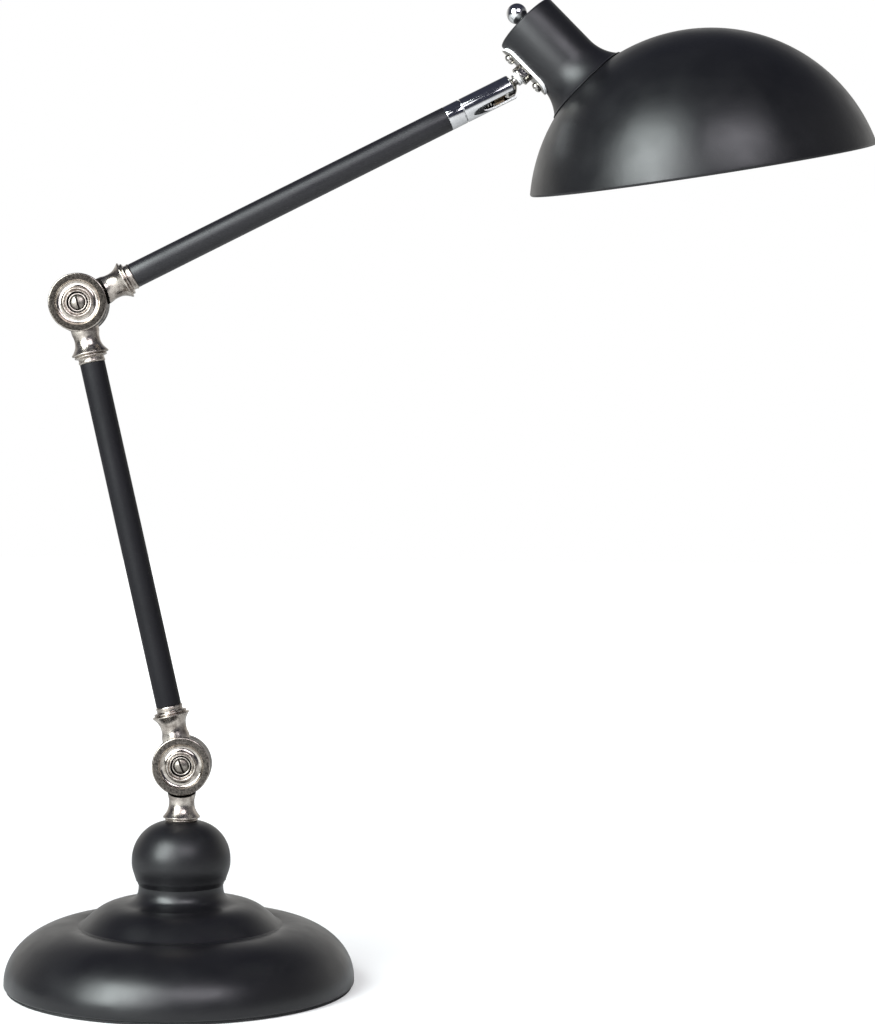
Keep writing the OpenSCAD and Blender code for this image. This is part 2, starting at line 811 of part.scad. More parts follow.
// Rotary switch, its bushing riveted into the cup's end
module switch_body() {
    back = -cup_back + cup_wall;
    color([0.1, 0.1, 0.1])
    at_cup()
        difference() {
            union() {
                translate([0, 0, back]) cylinder(r = switch_r, h = switch_end - back, $fn = 72);
                translate([0, 0, -cup_back]) cylinder(r = 4, h = cup_wall + 1, $fn = 64);
            }
            translate([0, 0, -cup_back - 1]) cylinder(r = stem_r + run_gap, h = 10, $fn = 48);
        }
}

module holder_body() {
    bore = 8.5;
    mouth = skirt_r - 1.6;
    color([0.92, 0.91, 0.88])
    at_cup()
        rotate_extrude()
            polygon([
                [0, switch_end], [switch_r, switch_end], [switch_r, shoulder_top - 3],
                [skirt_r + 2, shoulder_top - 2.6], [skirt_r + 2, shoulder_top],
                [skirt_r, shoulder_top], [skirt_r, skirt_end],
                [mouth, skirt_end], [mouth, shoulder_top - 3], [bore, shoulder_top - 5],
                [bore, contact_z], [0, contact_z]
            ]);
}

module holder_shell() {
    low = contact_z + 3;
    color([0.8, 0.7, 0.45])
    at_cup()
        translate([0, 0, low])
            difference() {
                cylinder(r = 8.4, h = 14, $fn = 72);
                translate([0, 0, -1]) cylinder(r = cap_r + 0.3, h = 17, $fn = 72);
            }
}

module holder_contact() {
    color([0.8, 0.7, 0.45])
    at_cup()
        translate([-2, -5, contact_z]) cube([4, 10, 0.9]);
}

module shade_ring() {
    color([0.1, 0.1, 0.1])
    at_cup()
        translate([0, 0, ring_top])
            difference() {
                cylinder(r = ring_out, h = ring_h);
                translate([0, 0, -1]) cylinder(r = skirt_r + slip_gap, h = ring_h + 2);
            }
}

// Spherical shade with a turned-in rim and a hole for the lampholder's skirt
module shade() {
    rim_a = asin((rim_z + 1.2) / shade_r);
    in_a = asin((rim_z + 1.4) / shade_in);
    rim_r = shade_r * cos(rim_a);
    steps = 36;
    color(black)
    difference() {
        at_shade()
            rotate_extrude($fn = 192)
                polygon(concat(
                    arc([0, 0], shade_r, 90, rim_a, steps),
                    [[rim_r - 0.2, rim_z + 0.4], [rim_r - 0.9, rim_z], [rim_r - 2.6, rim_z]],
                    [[rim_r - 3, rim_z + 0.5], [rim_r - 2.8, rim_z + 1.1]],
                    arc([0, 0], shade_in, in_a, 90, steps)
                ));
        at_cup() translate([0, 0, seam_z - 12]) cylinder(r = skirt_hole, h = 24);
    }
}

// Round golf-ball lamp with a small screw cap
module bulb_glass() {
    join = 140;
    outer = concat(
        bezier([cap_r + 0.2, cap_end], [cap_r + 0.2, cap_end + 8],
               [bulb_r * sin(join) - 6.1, bulb_mid + bulb_r * cos(join) - 5.1],
               [bulb_r * sin(join), bulb_mid + bulb_r * cos(join)], 8),
        [for (a = [join - 7 : -7 : 0]) [bulb_r * sin(a), bulb_mid + bulb_r * cos(a)]],
        [[0, bulb_mid + bulb_r]]
    );
    last = len(outer) - 3;
    wall_path = beside(outer, -0.8);
    color([0.95, 0.95, 0.92])
    at_cup()
        rotate_extrude()
            polygon(concat(
                outer, [[0, bulb_mid + bulb_r - 0.8]], [for (i = [last : -1 : 0]) wall_path[i]]
            ));
}

module bulb_cap() {
    color([0.8, 0.8, 0.8])
    at_cup()
        rotate_extrude($fn = 64)
            polygon([
                [0, bulb_tip], [2.2, bulb_tip], [2.6, bulb_tip + 1], [cap_r - 1, bulb_tip + 4],
                [cap_r, bulb_tip + 5], [cap_r, cap_end], [0, cap_end]
            ]);
}

module switch_knob() {
    stem_in = 9 - 1.2;
    color(chrome)
    at_cup() {
        translate([0, 0, knob_z]) sphere(r = knob_r);
        translate([0, 0, knob_z]) cylinder(r = stem_r, h = -cup_back - knob_z + stem_in, $fn = 48);
    }
}

base_shell();
base_collar();
base_weight();
base_pad();
base_nipple();
base_washer();
base_nut();
collar_washer();
cord_gland();
base_knuckle();
lower_arm_knuckle();
lower_arm_tube();
elbow_front_knuckle();
lower_friction_washer();
lower_hinge_screw();
lower_hinge_nut();
elbow_friction_washer();
elbow_screw();
elbow_nut();
elbow_rear_knuckle();
upper_arm_tube();
arm_end_collar();
swivel_bolt();
ball_sleeve();
ball_spring();
ball_seat();
ball_stud();
lock_nut();
saddle_plate();
saddle_screws();
lampholder_cup();
switch_body();
holder_body();
holder_shell();
holder_contact();
shade();
shade_ring();
bulb_glass();
bulb_cap();
switch_knob();
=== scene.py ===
"""Desk lamp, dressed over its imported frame: turned, spun and drawn pieces with their finishes."""
import json
import logging
import math
from collections.abc import Callable
from dataclasses import dataclass, field
from enum import Enum

import bmesh
import bpy
from mathutils import Matrix, Vector


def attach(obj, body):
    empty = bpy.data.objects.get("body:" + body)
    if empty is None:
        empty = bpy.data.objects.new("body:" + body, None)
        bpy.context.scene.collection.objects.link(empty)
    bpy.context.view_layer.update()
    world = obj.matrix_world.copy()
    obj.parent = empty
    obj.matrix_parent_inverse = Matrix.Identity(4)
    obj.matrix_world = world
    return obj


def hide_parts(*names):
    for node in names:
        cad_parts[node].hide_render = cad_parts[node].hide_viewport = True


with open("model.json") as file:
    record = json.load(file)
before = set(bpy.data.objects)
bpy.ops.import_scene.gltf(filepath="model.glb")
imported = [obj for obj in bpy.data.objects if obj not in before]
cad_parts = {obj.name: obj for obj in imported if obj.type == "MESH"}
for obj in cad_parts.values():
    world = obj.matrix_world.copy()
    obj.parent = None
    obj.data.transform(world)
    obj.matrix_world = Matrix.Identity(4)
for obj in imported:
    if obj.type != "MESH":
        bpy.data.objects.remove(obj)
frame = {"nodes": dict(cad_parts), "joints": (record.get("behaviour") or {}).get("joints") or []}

LOG = logging.getLogger("lamp")
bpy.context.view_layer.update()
MM = 0.001
ONE_POINT = 0.0004  # millimetres: points nearer than this are one
ACROSS, UP = Vector((0, 1, 0)), Vector((0, 0, 1))

Point = tuple[float, float]
Path = list[Point]
Colour = tuple[float, float, float]
Piece = bpy.types.Object
Finish = bpy.types.Material
Socket = bpy.types.NodeSocket


# ---------------------------------------------------------------- drawing of profiles


def curve(a: Point, b: Point, c: Point, d: Point, steps: int = 14) -> Path:
    """Points of a cubic curve.

    Args:
        a, b, c, d: the curve's four control points.
        steps: number of spans.
    Returns:
        The points, both ends included.
    """
    out = []
    for i in range(steps + 1):
        t, u = i / steps, 1 - i / steps
        w = (u * u * u, 3 * u * u * t, 3 * u * t * t, t * t * t)
        out.append(tuple(sum(k * p[n] for k, p in zip(w, (a, b, c, d))) for n in (0, 1)))
    return out


def arc(mid: Point, r: float, start: float, end: float, steps: int = 10) -> Path:
    """Points of an arc.

    Args:
        mid: the arc's centre.
        r: its radius.
        start, end: its two angles in degrees.
        steps: number of spans.
    Returns:
        The points, both ends included.
    """
    turn = [math.radians(start + (end - start) * i / steps) for i in range(steps + 1)]
    return [(mid[0] + r * math.cos(t), mid[1] + r * math.sin(t)) for t in turn]


def plug(r: float, low: float, high: float) -> Path:
    """Half profile of a solid round between two heights, from axis to axis."""
    return [(0, low), (r, low), (r, high), (0, high)]


def beside(path: Path, d: float) -> Path:
    """The path moved sideways.

    Args:
        path: the points.
        d: distance to the right of the direction of travel.
    Returns:
        As many points as path has.
    """
    out = []
    for i, p in enumerate(path):
        a, b = path[max(i - 1, 0)], path[min(i + 1, len(path) - 1)]
        n = math.hypot(b[0] - a[0], b[1] - a[1])
        out.append((p[0] + d * (b[1] - a[1]) / n, p[1] - d * (b[0] - a[0]) / n))
    return out


def eased(path: Path, r: float, closed: bool = False) -> Path:
    """The path with its sharp corners broken, as a maker breaks them with a file.

    Args:
        path: the points.
        r: radius of the broken edge.
        closed: whether the last point leads back to the first.
    Returns:
        The new points, with the first repeated at the end where the path is closed.
    """
    steps, slight, share, none = 3, math.radians(20), 0.45, 1e-6
    out, n = [], len(path)
    for i, p in enumerate(path):
        if not closed and i in (0, n - 1) or abs(p[0]) < none:
            out.append(p)
            continue
        a, b = Vector(path[i - 1]) - Vector(p), Vector(path[(i + 1) % n]) - Vector(p)
        if min(a.length, b.length) < none:
            continue
        bend = math.pi - a.angle(b)
        if bend < slight:
            out.append(p)
            continue
        reach = min(r * math.tan(bend / 2), share * a.length, share * b.length)
        s, e = Vector(p) + a.normalized() * reach, Vector(p) + b.normalized() * reach
        for k in range(steps + 1):
            t = k / steps
            q = s * (1 - t) ** 2 + Vector(p) * 2 * t * (1 - t) + e * t * t
            out.append((q.x, q.y))
    return out + out[:1] if closed else out


def rotated(degrees: float, axis: str) -> Matrix:
    """A turn about X, Y or Z."""
    return Matrix.Rotation(math.radians(degrees), 4, axis)


def raised(height: float) -> Matrix:
    """A move along Z."""
    return Matrix.Translation((0, 0, height))


# ---------------------------------------------------------------- node trees


class Nodes:
    """A node tree under construction."""

    def __init__(self, tree: bpy.types.NodeTree) -> None:
        """Takes the tree that the nodes go into."""
        self.tree = tree

    def put(self, value: object, socket: Socket) -> None:
        """Links a socket to an input, or sets the input's value.

        Args:
            value: the socket or the value.
            socket: the input.
        """
        if isinstance(value, Socket):
            self.tree.links.new(value, socket)
        else:
            socket.default_value = value

    def add(self, kind: str, values: dict | None = None, **settings: object) -> bpy.types.Node:
        """Adds a node.

        Args:
            kind: the node's type; a shader node's is given without its prefix.
            values: input names or numbers, each with a socket to link or a value to set.
            settings: properties of the node.
        Returns:
            The node.
        """
        node = self.tree.nodes.new(kind if "Node" in kind else "ShaderNode" + kind)
        for key, value in settings.items():
            setattr(node, key, value)
        for key, value in (values or {}).items():
            self.put(value, node.inputs[key])
        return node

    def sum(self, operation: str, a: object, b: object = 0.0) -> Socket:
        """The result of one Math node on a and b."""
        return self.add("Math", {0: a, 1: b}, operation=operation).outputs[0]


class Tree(Nodes):
    """A Geometry Nodes tree under construction, with its named inputs."""

    def __init__(self, name: str, **sizes: str) -> None:
        """Starts the tree.

        Args:
            name: the tree's name.
            sizes: the kind of socket of each input, such as Float or Int, with _ for a space.
        """
        super().__init__(bpy.data.node_groups.new(name, "GeometryNodeTree"))
        make = self.tree.interface.new_socket
        make("Geometry", in_out="INPUT", socket_type="NodeSocketGeometry")
        for label, kind in {**sizes, "Finish": "Material"}.items():
            make(label.replace("_", " "), in_out="INPUT", socket_type="NodeSocket" + kind)
        make("Geometry", in_out="OUTPUT", socket_type="NodeSocketGeometry")
        self.given = self.add("NodeGroupInput").outputs

    def close(self, shape: bpy.types.Node) -> "Tree":
        """Ends the tree: real geometry with its finish on.

        Args:
            shape: the last node.
        Returns:
            The tree.
        """
        real = self.add("GeometryNodeRealizeInstances", {"Geometry": shape.outputs[0]})
        done = self.add("GeometryNodeSetMaterial",
                        {"Geometry": real.outputs[0], "Material": self.given["Finish"]})
        self.put(done.outputs[0], self.add("NodeGroupOutput").inputs[0])
        return self

    def run(self, piece: Piece, **values: object) -> Piece:
        """Puts the tree on a piece and turns the result into a plain mesh.

        Args:
            piece: the object that carries the tree's first geometry.
            values: the inputs, named as in the tree with _ for a space.
        Returns:
            The same piece with its new mesh and no modifier.
        """
        mod = piece.modifiers.new(self.tree.name, "NODES")
        mod.node_group = self.tree
        for item in self.tree.interface.items_tree:
            key = item.name.replace(" ", "_")
            if item.in_out == "INPUT" and key in values:
                mod[item.identifier] = values[key]
        return settle(piece)


def settle(piece: Piece) -> Piece:
    """Applies all the modifiers of a piece.

    Args:
        piece: the object.
    Returns:
        The same piece with the plain mesh.
    """
    view = bpy.context.evaluated_depsgraph_get()
    mesh = bpy.data.meshes.new_from_object(piece.evaluated_get(view))
    piece.modifiers.clear()
    piece.data = mesh
    return piece


def turning_tree() -> Tree:
    """A lathe: spins the profile that the piece carries about its Z axis.

    Returns:
        The tree, whose grid has one column of vertices for each step round the axis.
    """
    t = Tree("turned form", Segments="Int")
    outline, segments = t.given["Geometry"], t.given["Segments"]
    count = t.add("GeometryNodeAttributeDomainSize", {0: outline}).outputs["Point Count"]
    grid = t.add("GeometryNodeMeshGrid", {
        "Size X": 1.0, "Size Y": 1.0, "Vertices Y": count,
        "Vertices X": t.sum("ADD", segments, 1.0)})
    index = t.add("GeometryNodeInputIndex").outputs[0]
    ring = t.sum("FLOOR", t.sum("DIVIDE", t.sum("ADD", index, 0.5), count))
    step = t.sum("SUBTRACT", index, t.sum("MULTIPLY", ring, count))
    at = t.add("GeometryNodeInputPosition").outputs[0]
    sample = t.add("GeometryNodeSampleIndex", {"Geometry": outline, "Value": at, "Index": step},
                   data_type="FLOAT_VECTOR", domain="POINT")
    part = t.add("SeparateXYZ", {0: sample.outputs[0]}).outputs
    angle = t.sum("MULTIPLY", t.sum("DIVIDE", ring, segments), math.tau)
    spot = t.add("CombineXYZ", {
        0: t.sum("MULTIPLY", part[0], t.sum("COSINE", angle)),
        1: t.sum("MULTIPLY", part[0], t.sum("SINE", angle)), 2: part[2]})
    moved = t.add("GeometryNodeSetPosition",
                  {"Geometry": grid.outputs[0], "Position": spot.outputs[0]})
    return t.close(t.add("GeometryNodeMergeByDistance",
                         {"Geometry": moved.outputs[0], "Distance": ONE_POINT}))


def winding_tree() -> Tree:
    """Wire or thread ridge wound about the Z axis, from the section that the piece carries.

    Returns:
        The tree, whose ends are capped.
    """
    t = Tree("wound form", Turns="Float", Radius="Float", Rise="Float", Per_Turn="Int")
    section = t.add("GeometryNodeMeshToCurve", {"Mesh": t.given["Geometry"]})
    line = t.add("GeometryNodeCurveSpiral", {
        "Resolution": t.given["Per Turn"], "Rotations": t.given["Turns"],
        "Start Radius": t.given["Radius"], "End Radius": t.given["Radius"],
        "Height": t.given["Rise"]})
    even = t.add("GeometryNodeResampleCurve", {
        "Curve": line.outputs[0],
        "Count": t.sum("MULTIPLY", t.given["Turns"], t.given["Per Turn"])})
    level = t.add("GeometryNodeSetCurveNormal", {"Curve": even.outputs[0]}, mode="Z_UP")
    return t.close(t.add("GeometryNodeCurveToMesh", {
        "Curve": level.outputs[0], "Profile Curve": section.outputs[0], "Fill Caps": True}))


def row_tree() -> Tree:
    """The piece's own mesh repeated in a row along Z.

    Returns:
        The tree, whose row has its middle at the origin.
    """
    t = Tree("row of pieces", Count="Int", Pitch="Float")
    start = t.sum("MULTIPLY", t.given["Pitch"],
                  t.sum("MULTIPLY", t.sum("SUBTRACT", t.given["Count"], 1.0), -0.5))
    line = t.add("GeometryNodeMeshLine", {
        "Count": t.given["Count"],
        "Start Location": t.add("CombineXYZ", {2: start}).outputs[0],
        "Offset": t.add("CombineXYZ", {2: t.given["Pitch"]}).outputs[0]})
    return t.close(t.add("GeometryNodeInstanceOnPoints", {
        "Points": line.outputs[0], "Instance": t.given["Geometry"]}))


def ribs_tree() -> Tree:
    """Upright round ribs set round a circle, as on a ring that is turned by hand.

    Returns:
        The tree, whose ribs have their middle at the origin's height.
    """
    t = Tree("ring of ribs", Count="Int", Radius="Float", Rib_Radius="Float", Height="Float")
    circle = t.add("GeometryNodeMeshCircle", {
        "Vertices": t.given["Count"], "Radius": t.given["Radius"]})
    rib = t.add("GeometryNodeMeshCylinder", {
        "Vertices": 10, "Side Segments": 1, "Radius": t.given["Rib Radius"],
        "Depth": t.given["Height"]})
    return t.close(t.add("GeometryNodeInstanceOnPoints", {
        "Points": circle.outputs[0], "Instance": rib.outputs["Mesh"]}))


# ---------------------------------------------------------------- workshop


def placed(name: str, data: bpy.types.ID) -> Piece:
    """An object on some data.

    Args:
        name: its name.
        data: the mesh, light or camera.
    Returns:
        The object, linked to the scene.
    """
    piece = bpy.data.objects.new(name, data)
    bpy.context.scene.collection.objects.link(piece)
    return piece


def meshed(name: str, points: list, edges: list, faces: list) -> Piece:
    """An object with a new mesh.

    Args:
        name: the name of both.
        points, edges, faces: the mesh, as from_pydata takes it.
    Returns:
        The object, linked to the scene.
    """
    mesh = bpy.data.meshes.new(name)
    mesh.from_pydata(points, edges, faces)
    return placed(name, mesh)


class Shop:
    """The tools that the sub-assemblies share, each made once; lengths in millimetres."""

    turning = turning_tree()
    winding = winding_tree()
    row = row_tree()
    ribs = ribs_tree()
    crease = math.radians(40)  # a bevel breaks the edges that bend more than this

    @staticmethod
    def blank(name: str, path: Path, closed: bool = False) -> Piece:
        """An object that carries a profile.

        Args:
            name: the piece's name.
            path: radius and height of each point.
            closed: whether an edge leads from the last point to the first.
        Returns:
            The object.
        """
        last = len(path) - 1
        edges = [(i, i + 1) for i in range(last)] + ([(last, 0)] if closed else [])
        return meshed(name, [(x, 0.0, z) for x, z in path], edges, [])

    @classmethod
    def turned(cls, name: str, path: Path, finish: Finish | None = None,
               segments: int = 128) -> Piece:
        """A piece turned on the lathe about the Z axis.

        Args:
            name: the piece's name.
            path: its half profile, closed on itself or from axis to axis.
            finish: its material, or none for a tool.
            segments: steps round the axis.
        Returns:
            The piece with outward faces.
        """
        piece = cls.turning.run(cls.blank(name, path), Segments=segments, Finish=finish)
        return cls.outward(piece)

    @classmethod
    def wound(cls, name: str, section: Path, r: float, low: float, rise: float, turns: float,
              steps: int, finish: Finish) -> Piece:
        """A spring, or the ridge of a thread, wound about the Z axis.

        Args:
            name: the piece's name.
            section: the closed section of the wire or the ridge.
            r: the radius that it is wound at.
            low, rise: where it starts and how far it climbs.
            turns: how often it goes round.
            steps: steps in a turn.
            finish: its material.
        Returns:
            The piece with outward faces.
        """
        piece = cls.moved(cls.blank(name, section, True), rotated(-90, "X"))
        cls.winding.run(piece, Turns=turns, Radius=r, Rise=rise, Per_Turn=steps, Finish=finish)
        return cls.moved(cls.outward(piece), raised(low))

    @staticmethod
    def prism(name: str, outline: Path, low: float, high: float) -> Piece:
        """A straight block over an outline.

        Args:
            name: the piece's name.
            outline: X and Y of its corners, in order.
            low, high: Z of its two faces.
        Returns:
            The closed block.
        """
        n = len(outline)
        points = [(x, y, z) for z in (low, high) for x, y in outline]
        sides = [(i, (i + 1) % n, n + (i + 1) % n, n + i) for i in range(n)]
        ends = [tuple(range(n)), tuple(range(n, 2 * n))]
        return Shop.outward(meshed(name, points, [], sides + ends))

    @staticmethod
    def saw(half: float, reach: float, low: float, high: float) -> Piece:
        """A cutter for a straight slot, half its width and half its length from the middle."""
        box = [(-half, -reach), (half, -reach), (half, reach), (-half, reach)]
        return Shop.prism("saw", box, low, high)

    @staticmethod
    def corner(flats: float) -> float:
        """Distance of a hexagon's corners from its middle, from its width across the flats."""
        return flats / 2 / math.cos(math.pi / 6)

    @classmethod
    def hexagon(cls, name: str, flats: float, low: float, high: float, chamfer: float,
                finish: Finish) -> Piece:
        """A hexagon nut blank, its corners turned off at both faces.

        Args:
            name: the piece's name.
            flats: width across the flats.
            low, high: Z of its faces.
            chamfer: how far the corners are turned down.
            finish: its material.
        Returns:
            The blank.
        """
        r, flat, past = cls.corner(flats), flats / 2 + 0.05, 0.02
        outline = [(r * math.cos(math.radians(60 * i)), r * math.sin(math.radians(60 * i)))
                   for i in range(6)]
        piece = cls.prism(name, outline, low, high)
        piece.data.materials.append(finish)
        path = [(0, low), (flat, low), (r + past, low + chamfer), (r + past, high - chamfer),
                (flat, high), (0, high)]
        cls.work(piece, "INTERSECT", cls.turned("blank", path, finish, 96))
        return cls.soften(piece, 0.08, 1)

    @staticmethod
    def outward(piece: Piece) -> Piece:
        """Merges doubles and turns all faces outwards.

        Args:
            piece: the object.
        Returns:
            The same piece.
        """
        bm = bmesh.new()
        bm.from_mesh(piece.data)
        bmesh.ops.remove_doubles(bm, verts=bm.verts, dist=ONE_POINT)
        bmesh.ops.recalc_face_normals(bm, faces=bm.faces)
        bm.to_mesh(piece.data)
        bm.free()
        return piece

    @staticmethod
    def work(piece: Piece, operation: str, tool: Piece) -> Piece:
        """Cuts a piece with another, or joins it on, and removes that one.

        Args:
            piece: the piece that stays.
            operation: DIFFERENCE, UNION or INTERSECT.
            tool: the cutter.
        Returns:
            The piece.
        """
        mod = piece.modifiers.new("work", "BOOLEAN")
        mod.operation, mod.solver, mod.object = operation, "EXACT", tool
        settle(piece)
        bpy.data.objects.remove(tool)
        return piece

    @staticmethod
    def soften(piece: Piece, width: float, segments: int = 2) -> Piece:
        """Breaks the sharp edges of a piece with a small bevel.

        Args:
            piece: the object.
            width: the bevel's width.
            segments: its steps.
        Returns:
            The same piece.
        """
        mod = piece.modifiers.new("broken edge", "BEVEL")
        mod.width, mod.segments, mod.limit_method = width, segments, "ANGLE"
        mod.angle_limit = Shop.crease
        return settle(piece)

    @staticmethod
    def moved(piece: Piece, place: Matrix) -> Piece:
        """Moves the mesh of a piece."""
        piece.data.transform(place)
        return piece

    @staticmethod
    def joined(piece: Piece, other: Piece) -> Piece:
        """Puts the mesh of another object into a piece.

        Args:
            piece: the piece that stays.
            other: the object that goes.
        Returns:
            The piece.
        """
        bm = bmesh.new()
        for part in (piece, other):
            bm.from_mesh(part.data)
        bm.to_mesh(piece.data)
        bm.free()
        bpy.data.objects.remove(other)
        return piece


@dataclass(frozen=True)
class Thread:
    """A thread's pitch, the ridge's height and half widths, and its run-out at both ends."""

    pitch: float
    height: float
    foot: float
    crest: float
    run_out: float
    sunk: float = -0.1

    def cut(self, core: float, low: float, high: float, steps: int, finish: Finish) -> Piece:
        """The thread's ridge round a core.

        Args:
            core: the core's radius.
            low, high: where the threaded length starts and ends.
            steps: steps in a turn.
            finish: its material.
        Returns:
            The ridge with outward faces.
        """
        section = [(self.sunk, -self.foot), (self.height, -self.crest),
                   (self.height, self.crest), (self.sunk, self.foot)]
        rise = high - low - 2 * self.run_out
        return Shop.wound("thread", section, core, low + self.run_out, rise, rise / self.pitch,
                          steps, finish)


# ---------------------------------------------------------------- finishes


class Grain(Nodes):
    """A material under construction, with a Principled shader and Object coordinates."""

    def __init__(self, name: str, **constants: object) -> None:
        """Starts the material.

        Args:
            name: the finish's name.
            constants: shader inputs that are the same all over, with _ for a space.
        """
        self.material = bpy.data.materials.new(name)
        self.material.use_nodes = True
        super().__init__(self.material.node_tree)
        self.shader = self.tree.nodes["Principled BSDF"].inputs
        for key, value in constants.items():
            self.put(value, self.shader[key.replace("_", " ")])
        self.where = self.add("TexCoord").outputs["Object"]

    def noise(self, per_metre: float, detail: float = 2.0, rough: float = 0.5) -> Socket:
        """A noise value, from its features in a metre, its octaves and the finer ones' share."""
        return self.add("TexNoise", {"Vector": self.where, "Scale": per_metre, "Detail": detail,
                                     "Roughness": rough}).outputs["Fac"]

    def ramp(self, value: Socket, low: float, high: float, start: float, end: float) -> Socket:
        """A value carried from low and high to start and end, clamped."""
        return self.add("MapRange", {"Value": value, "From Min": low, "From Max": high,
                                     "To Min": start, "To Max": end}).outputs[0]

    def spread(self, value: Socket, start: float, end: float) -> Socket:
        """A noise value spread over a range."""
        return self.ramp(value, 0.3, 0.7, start, end)

    def blend(self, factor: Socket, a: Socket | Colour, b: Socket | Colour) -> Socket:
        """A colour between a and b.

        Args:
            factor: 0 for a and 1 for b.
            a, b: the two colours.
        Returns:
            The colour's socket.
        """
        a, b = (c if isinstance(c, Socket) else (*c, 1.0) for c in (a, b))
        return self.add("Mix", {0: factor, 6: a, 7: b}, data_type="RGBA").outputs[2]

    def surface(self, colour: Socket, rough: Socket, *layers: tuple[Socket, float]) -> Finish:
        """Links the shader.

        Args:
            colour: the base colour.
            rough: the roughness.
            layers: the bumps, each a height and its depth in metres.
        Returns:
            The finished material.
        """
        self.put(colour, self.shader["Base Color"])
        self.put(rough, self.shader["Roughness"])
        normal = {}
        for height, depth in layers:
            bump = self.add("Bump", {"Height": height, "Distance": depth, "Strength": 1.0,
                                     **normal})
            normal = {"Normal": bump.outputs[0]}
        for socket in normal.values():
            self.put(socket, self.shader["Normal"])
        return self.material


class Sheen(Enum):
    """How rough a coat is, from and to."""

    SATIN = (0.31, 0.41)
    SOFT = (0.36, 0.46)
    MATT = (0.5, 0.62)


@dataclass(frozen=True)
class PowderCoat:
    """Baked coat with a fine orange-peel grain and a few lighter specks."""

    name: str
    low: Colour
    high: Colour
    sheen: Sheen = Sheen.SATIN
    grain: float = 1500.0
    depth: float = 0.000012
    gleam: float = 0.5
    cloud: float = 14.0  # in a metre: slow changes of tone
    smear: float = 60.0  # in a metre: changes of sheen
    peel: float = 380.0  # in a metre: bumps of the orange peel

    def make(self) -> Finish:
        """Builds the material.

        Returns:
            The coat's material.
        """
        g = Grain(self.name, Specular_IOR_Level=self.gleam)
        speck = g.ramp(g.noise(self.grain * 0.8, 1), 0.66, 0.74, 0.0, 0.5)
        tone = g.blend(g.ramp(g.noise(self.cloud, 3), 0.35, 0.65, 0, 1), self.low, self.high)
        light = tuple(min(1.0, c * 1.7 + 0.004) for c in self.high)
        return g.surface(g.blend(speck, tone, light),
                         g.spread(g.noise(self.smear, 4), *self.sheen.value),
                         (g.noise(self.grain, 3, 0.6), self.depth),
                         (g.noise(self.peel, 2), self.depth * 1.4))


@dataclass(frozen=True)
class PlatedMetal:
    """Plated metal: its mirror is broken by polishing marks, faint waves and pits."""

    name: str
    dark: Colour
    bright: Colour
    rough: tuple[float, float] = (0.04, 0.09)
    wave: float = 0.0
    patch: float = 160.0
    pits: float = 0.0
    marks: float = 0.000002
    polish: float = 2600.0  # in a metre: polishing marks
    pitting: float = 1900.0  # in a metre: pits

    def make(self) -> Finish:
        """Builds the material.

        Returns:
            The metal's material, with waves and pits only where they have a depth.
        """
        g = Grain(self.name, Metallic=1.0)
        tone = g.ramp(g.noise(self.patch, 5, 0.65), 0.36, 0.62, 0.0, 1.0)
        layers = [(g.noise(self.polish, 2), self.marks)]
        if self.wave:
            layers.append((g.noise(self.patch * 0.9, 3), self.wave))
        if self.pits:
            layers.append((g.noise(self.pitting, 4, 0.8), self.pits))
        return g.surface(g.blend(tone, self.dark, self.bright),
                         g.spread(g.noise(self.patch * 1.6, 4), *self.rough), *layers)


@dataclass(frozen=True)
class Moulded:
    """Moulded or soft material: plastic, rubber, foam, fibre and porcelain."""

    name: str
    low: Colour
    high: Colour
    rough: tuple[float, float] = (0.4, 0.55)
    grain: float = 900.0
    depth: float = 0.00002
    coat: float = 0.0
    cloud: float = 90.0  # in a metre: changes of tone
    smear: float = 240.0  # in a metre: changes of sheen

    def make(self) -> Finish:
        """Builds the material.

        Returns:
            The material.
        """
        g = Grain(self.name, Coat_Weight=self.coat, Coat_Roughness=0.12)
        return g.surface(g.blend(g.spread(g.noise(self.cloud, 4), 0, 1), self.low, self.high),
                         g.spread(g.noise(self.smear, 3), *self.rough),
                         (g.noise(self.grain, 3, 0.7), self.depth))


@dataclass(frozen=True)
class OpalGlass:
    """Milky blown glass, a little uneven in its depth of white."""

    name: str = "opal glass"
    low: Colour = (0.86, 0.85, 0.82)
    high: Colour = (0.93, 0.925, 0.91)
    rough: tuple[float, float] = (0.1, 0.2)
    depth: float = 0.00002
    cloud: float = 45.0  # in a metre: changes of white
    smear: float = 120.0  # in a metre: changes of sheen
    swell: float = 140.0  # in a metre: waves of the blown wall

    def make(self) -> Finish:
        """Builds the material.

        Returns:
            The glass's material.
        """
        g = Grain(self.name, Coat_Weight=0.6, Coat_Roughness=0.05, Subsurface_Weight=0.35,
                  Subsurface_Scale=0.004)
        return g.surface(g.blend(g.spread(g.noise(self.cloud, 3), 0, 1), self.low, self.high),
                         g.spread(g.noise(self.smear, 3), *self.rough),
                         (g.noise(self.swell, 2), self.depth))


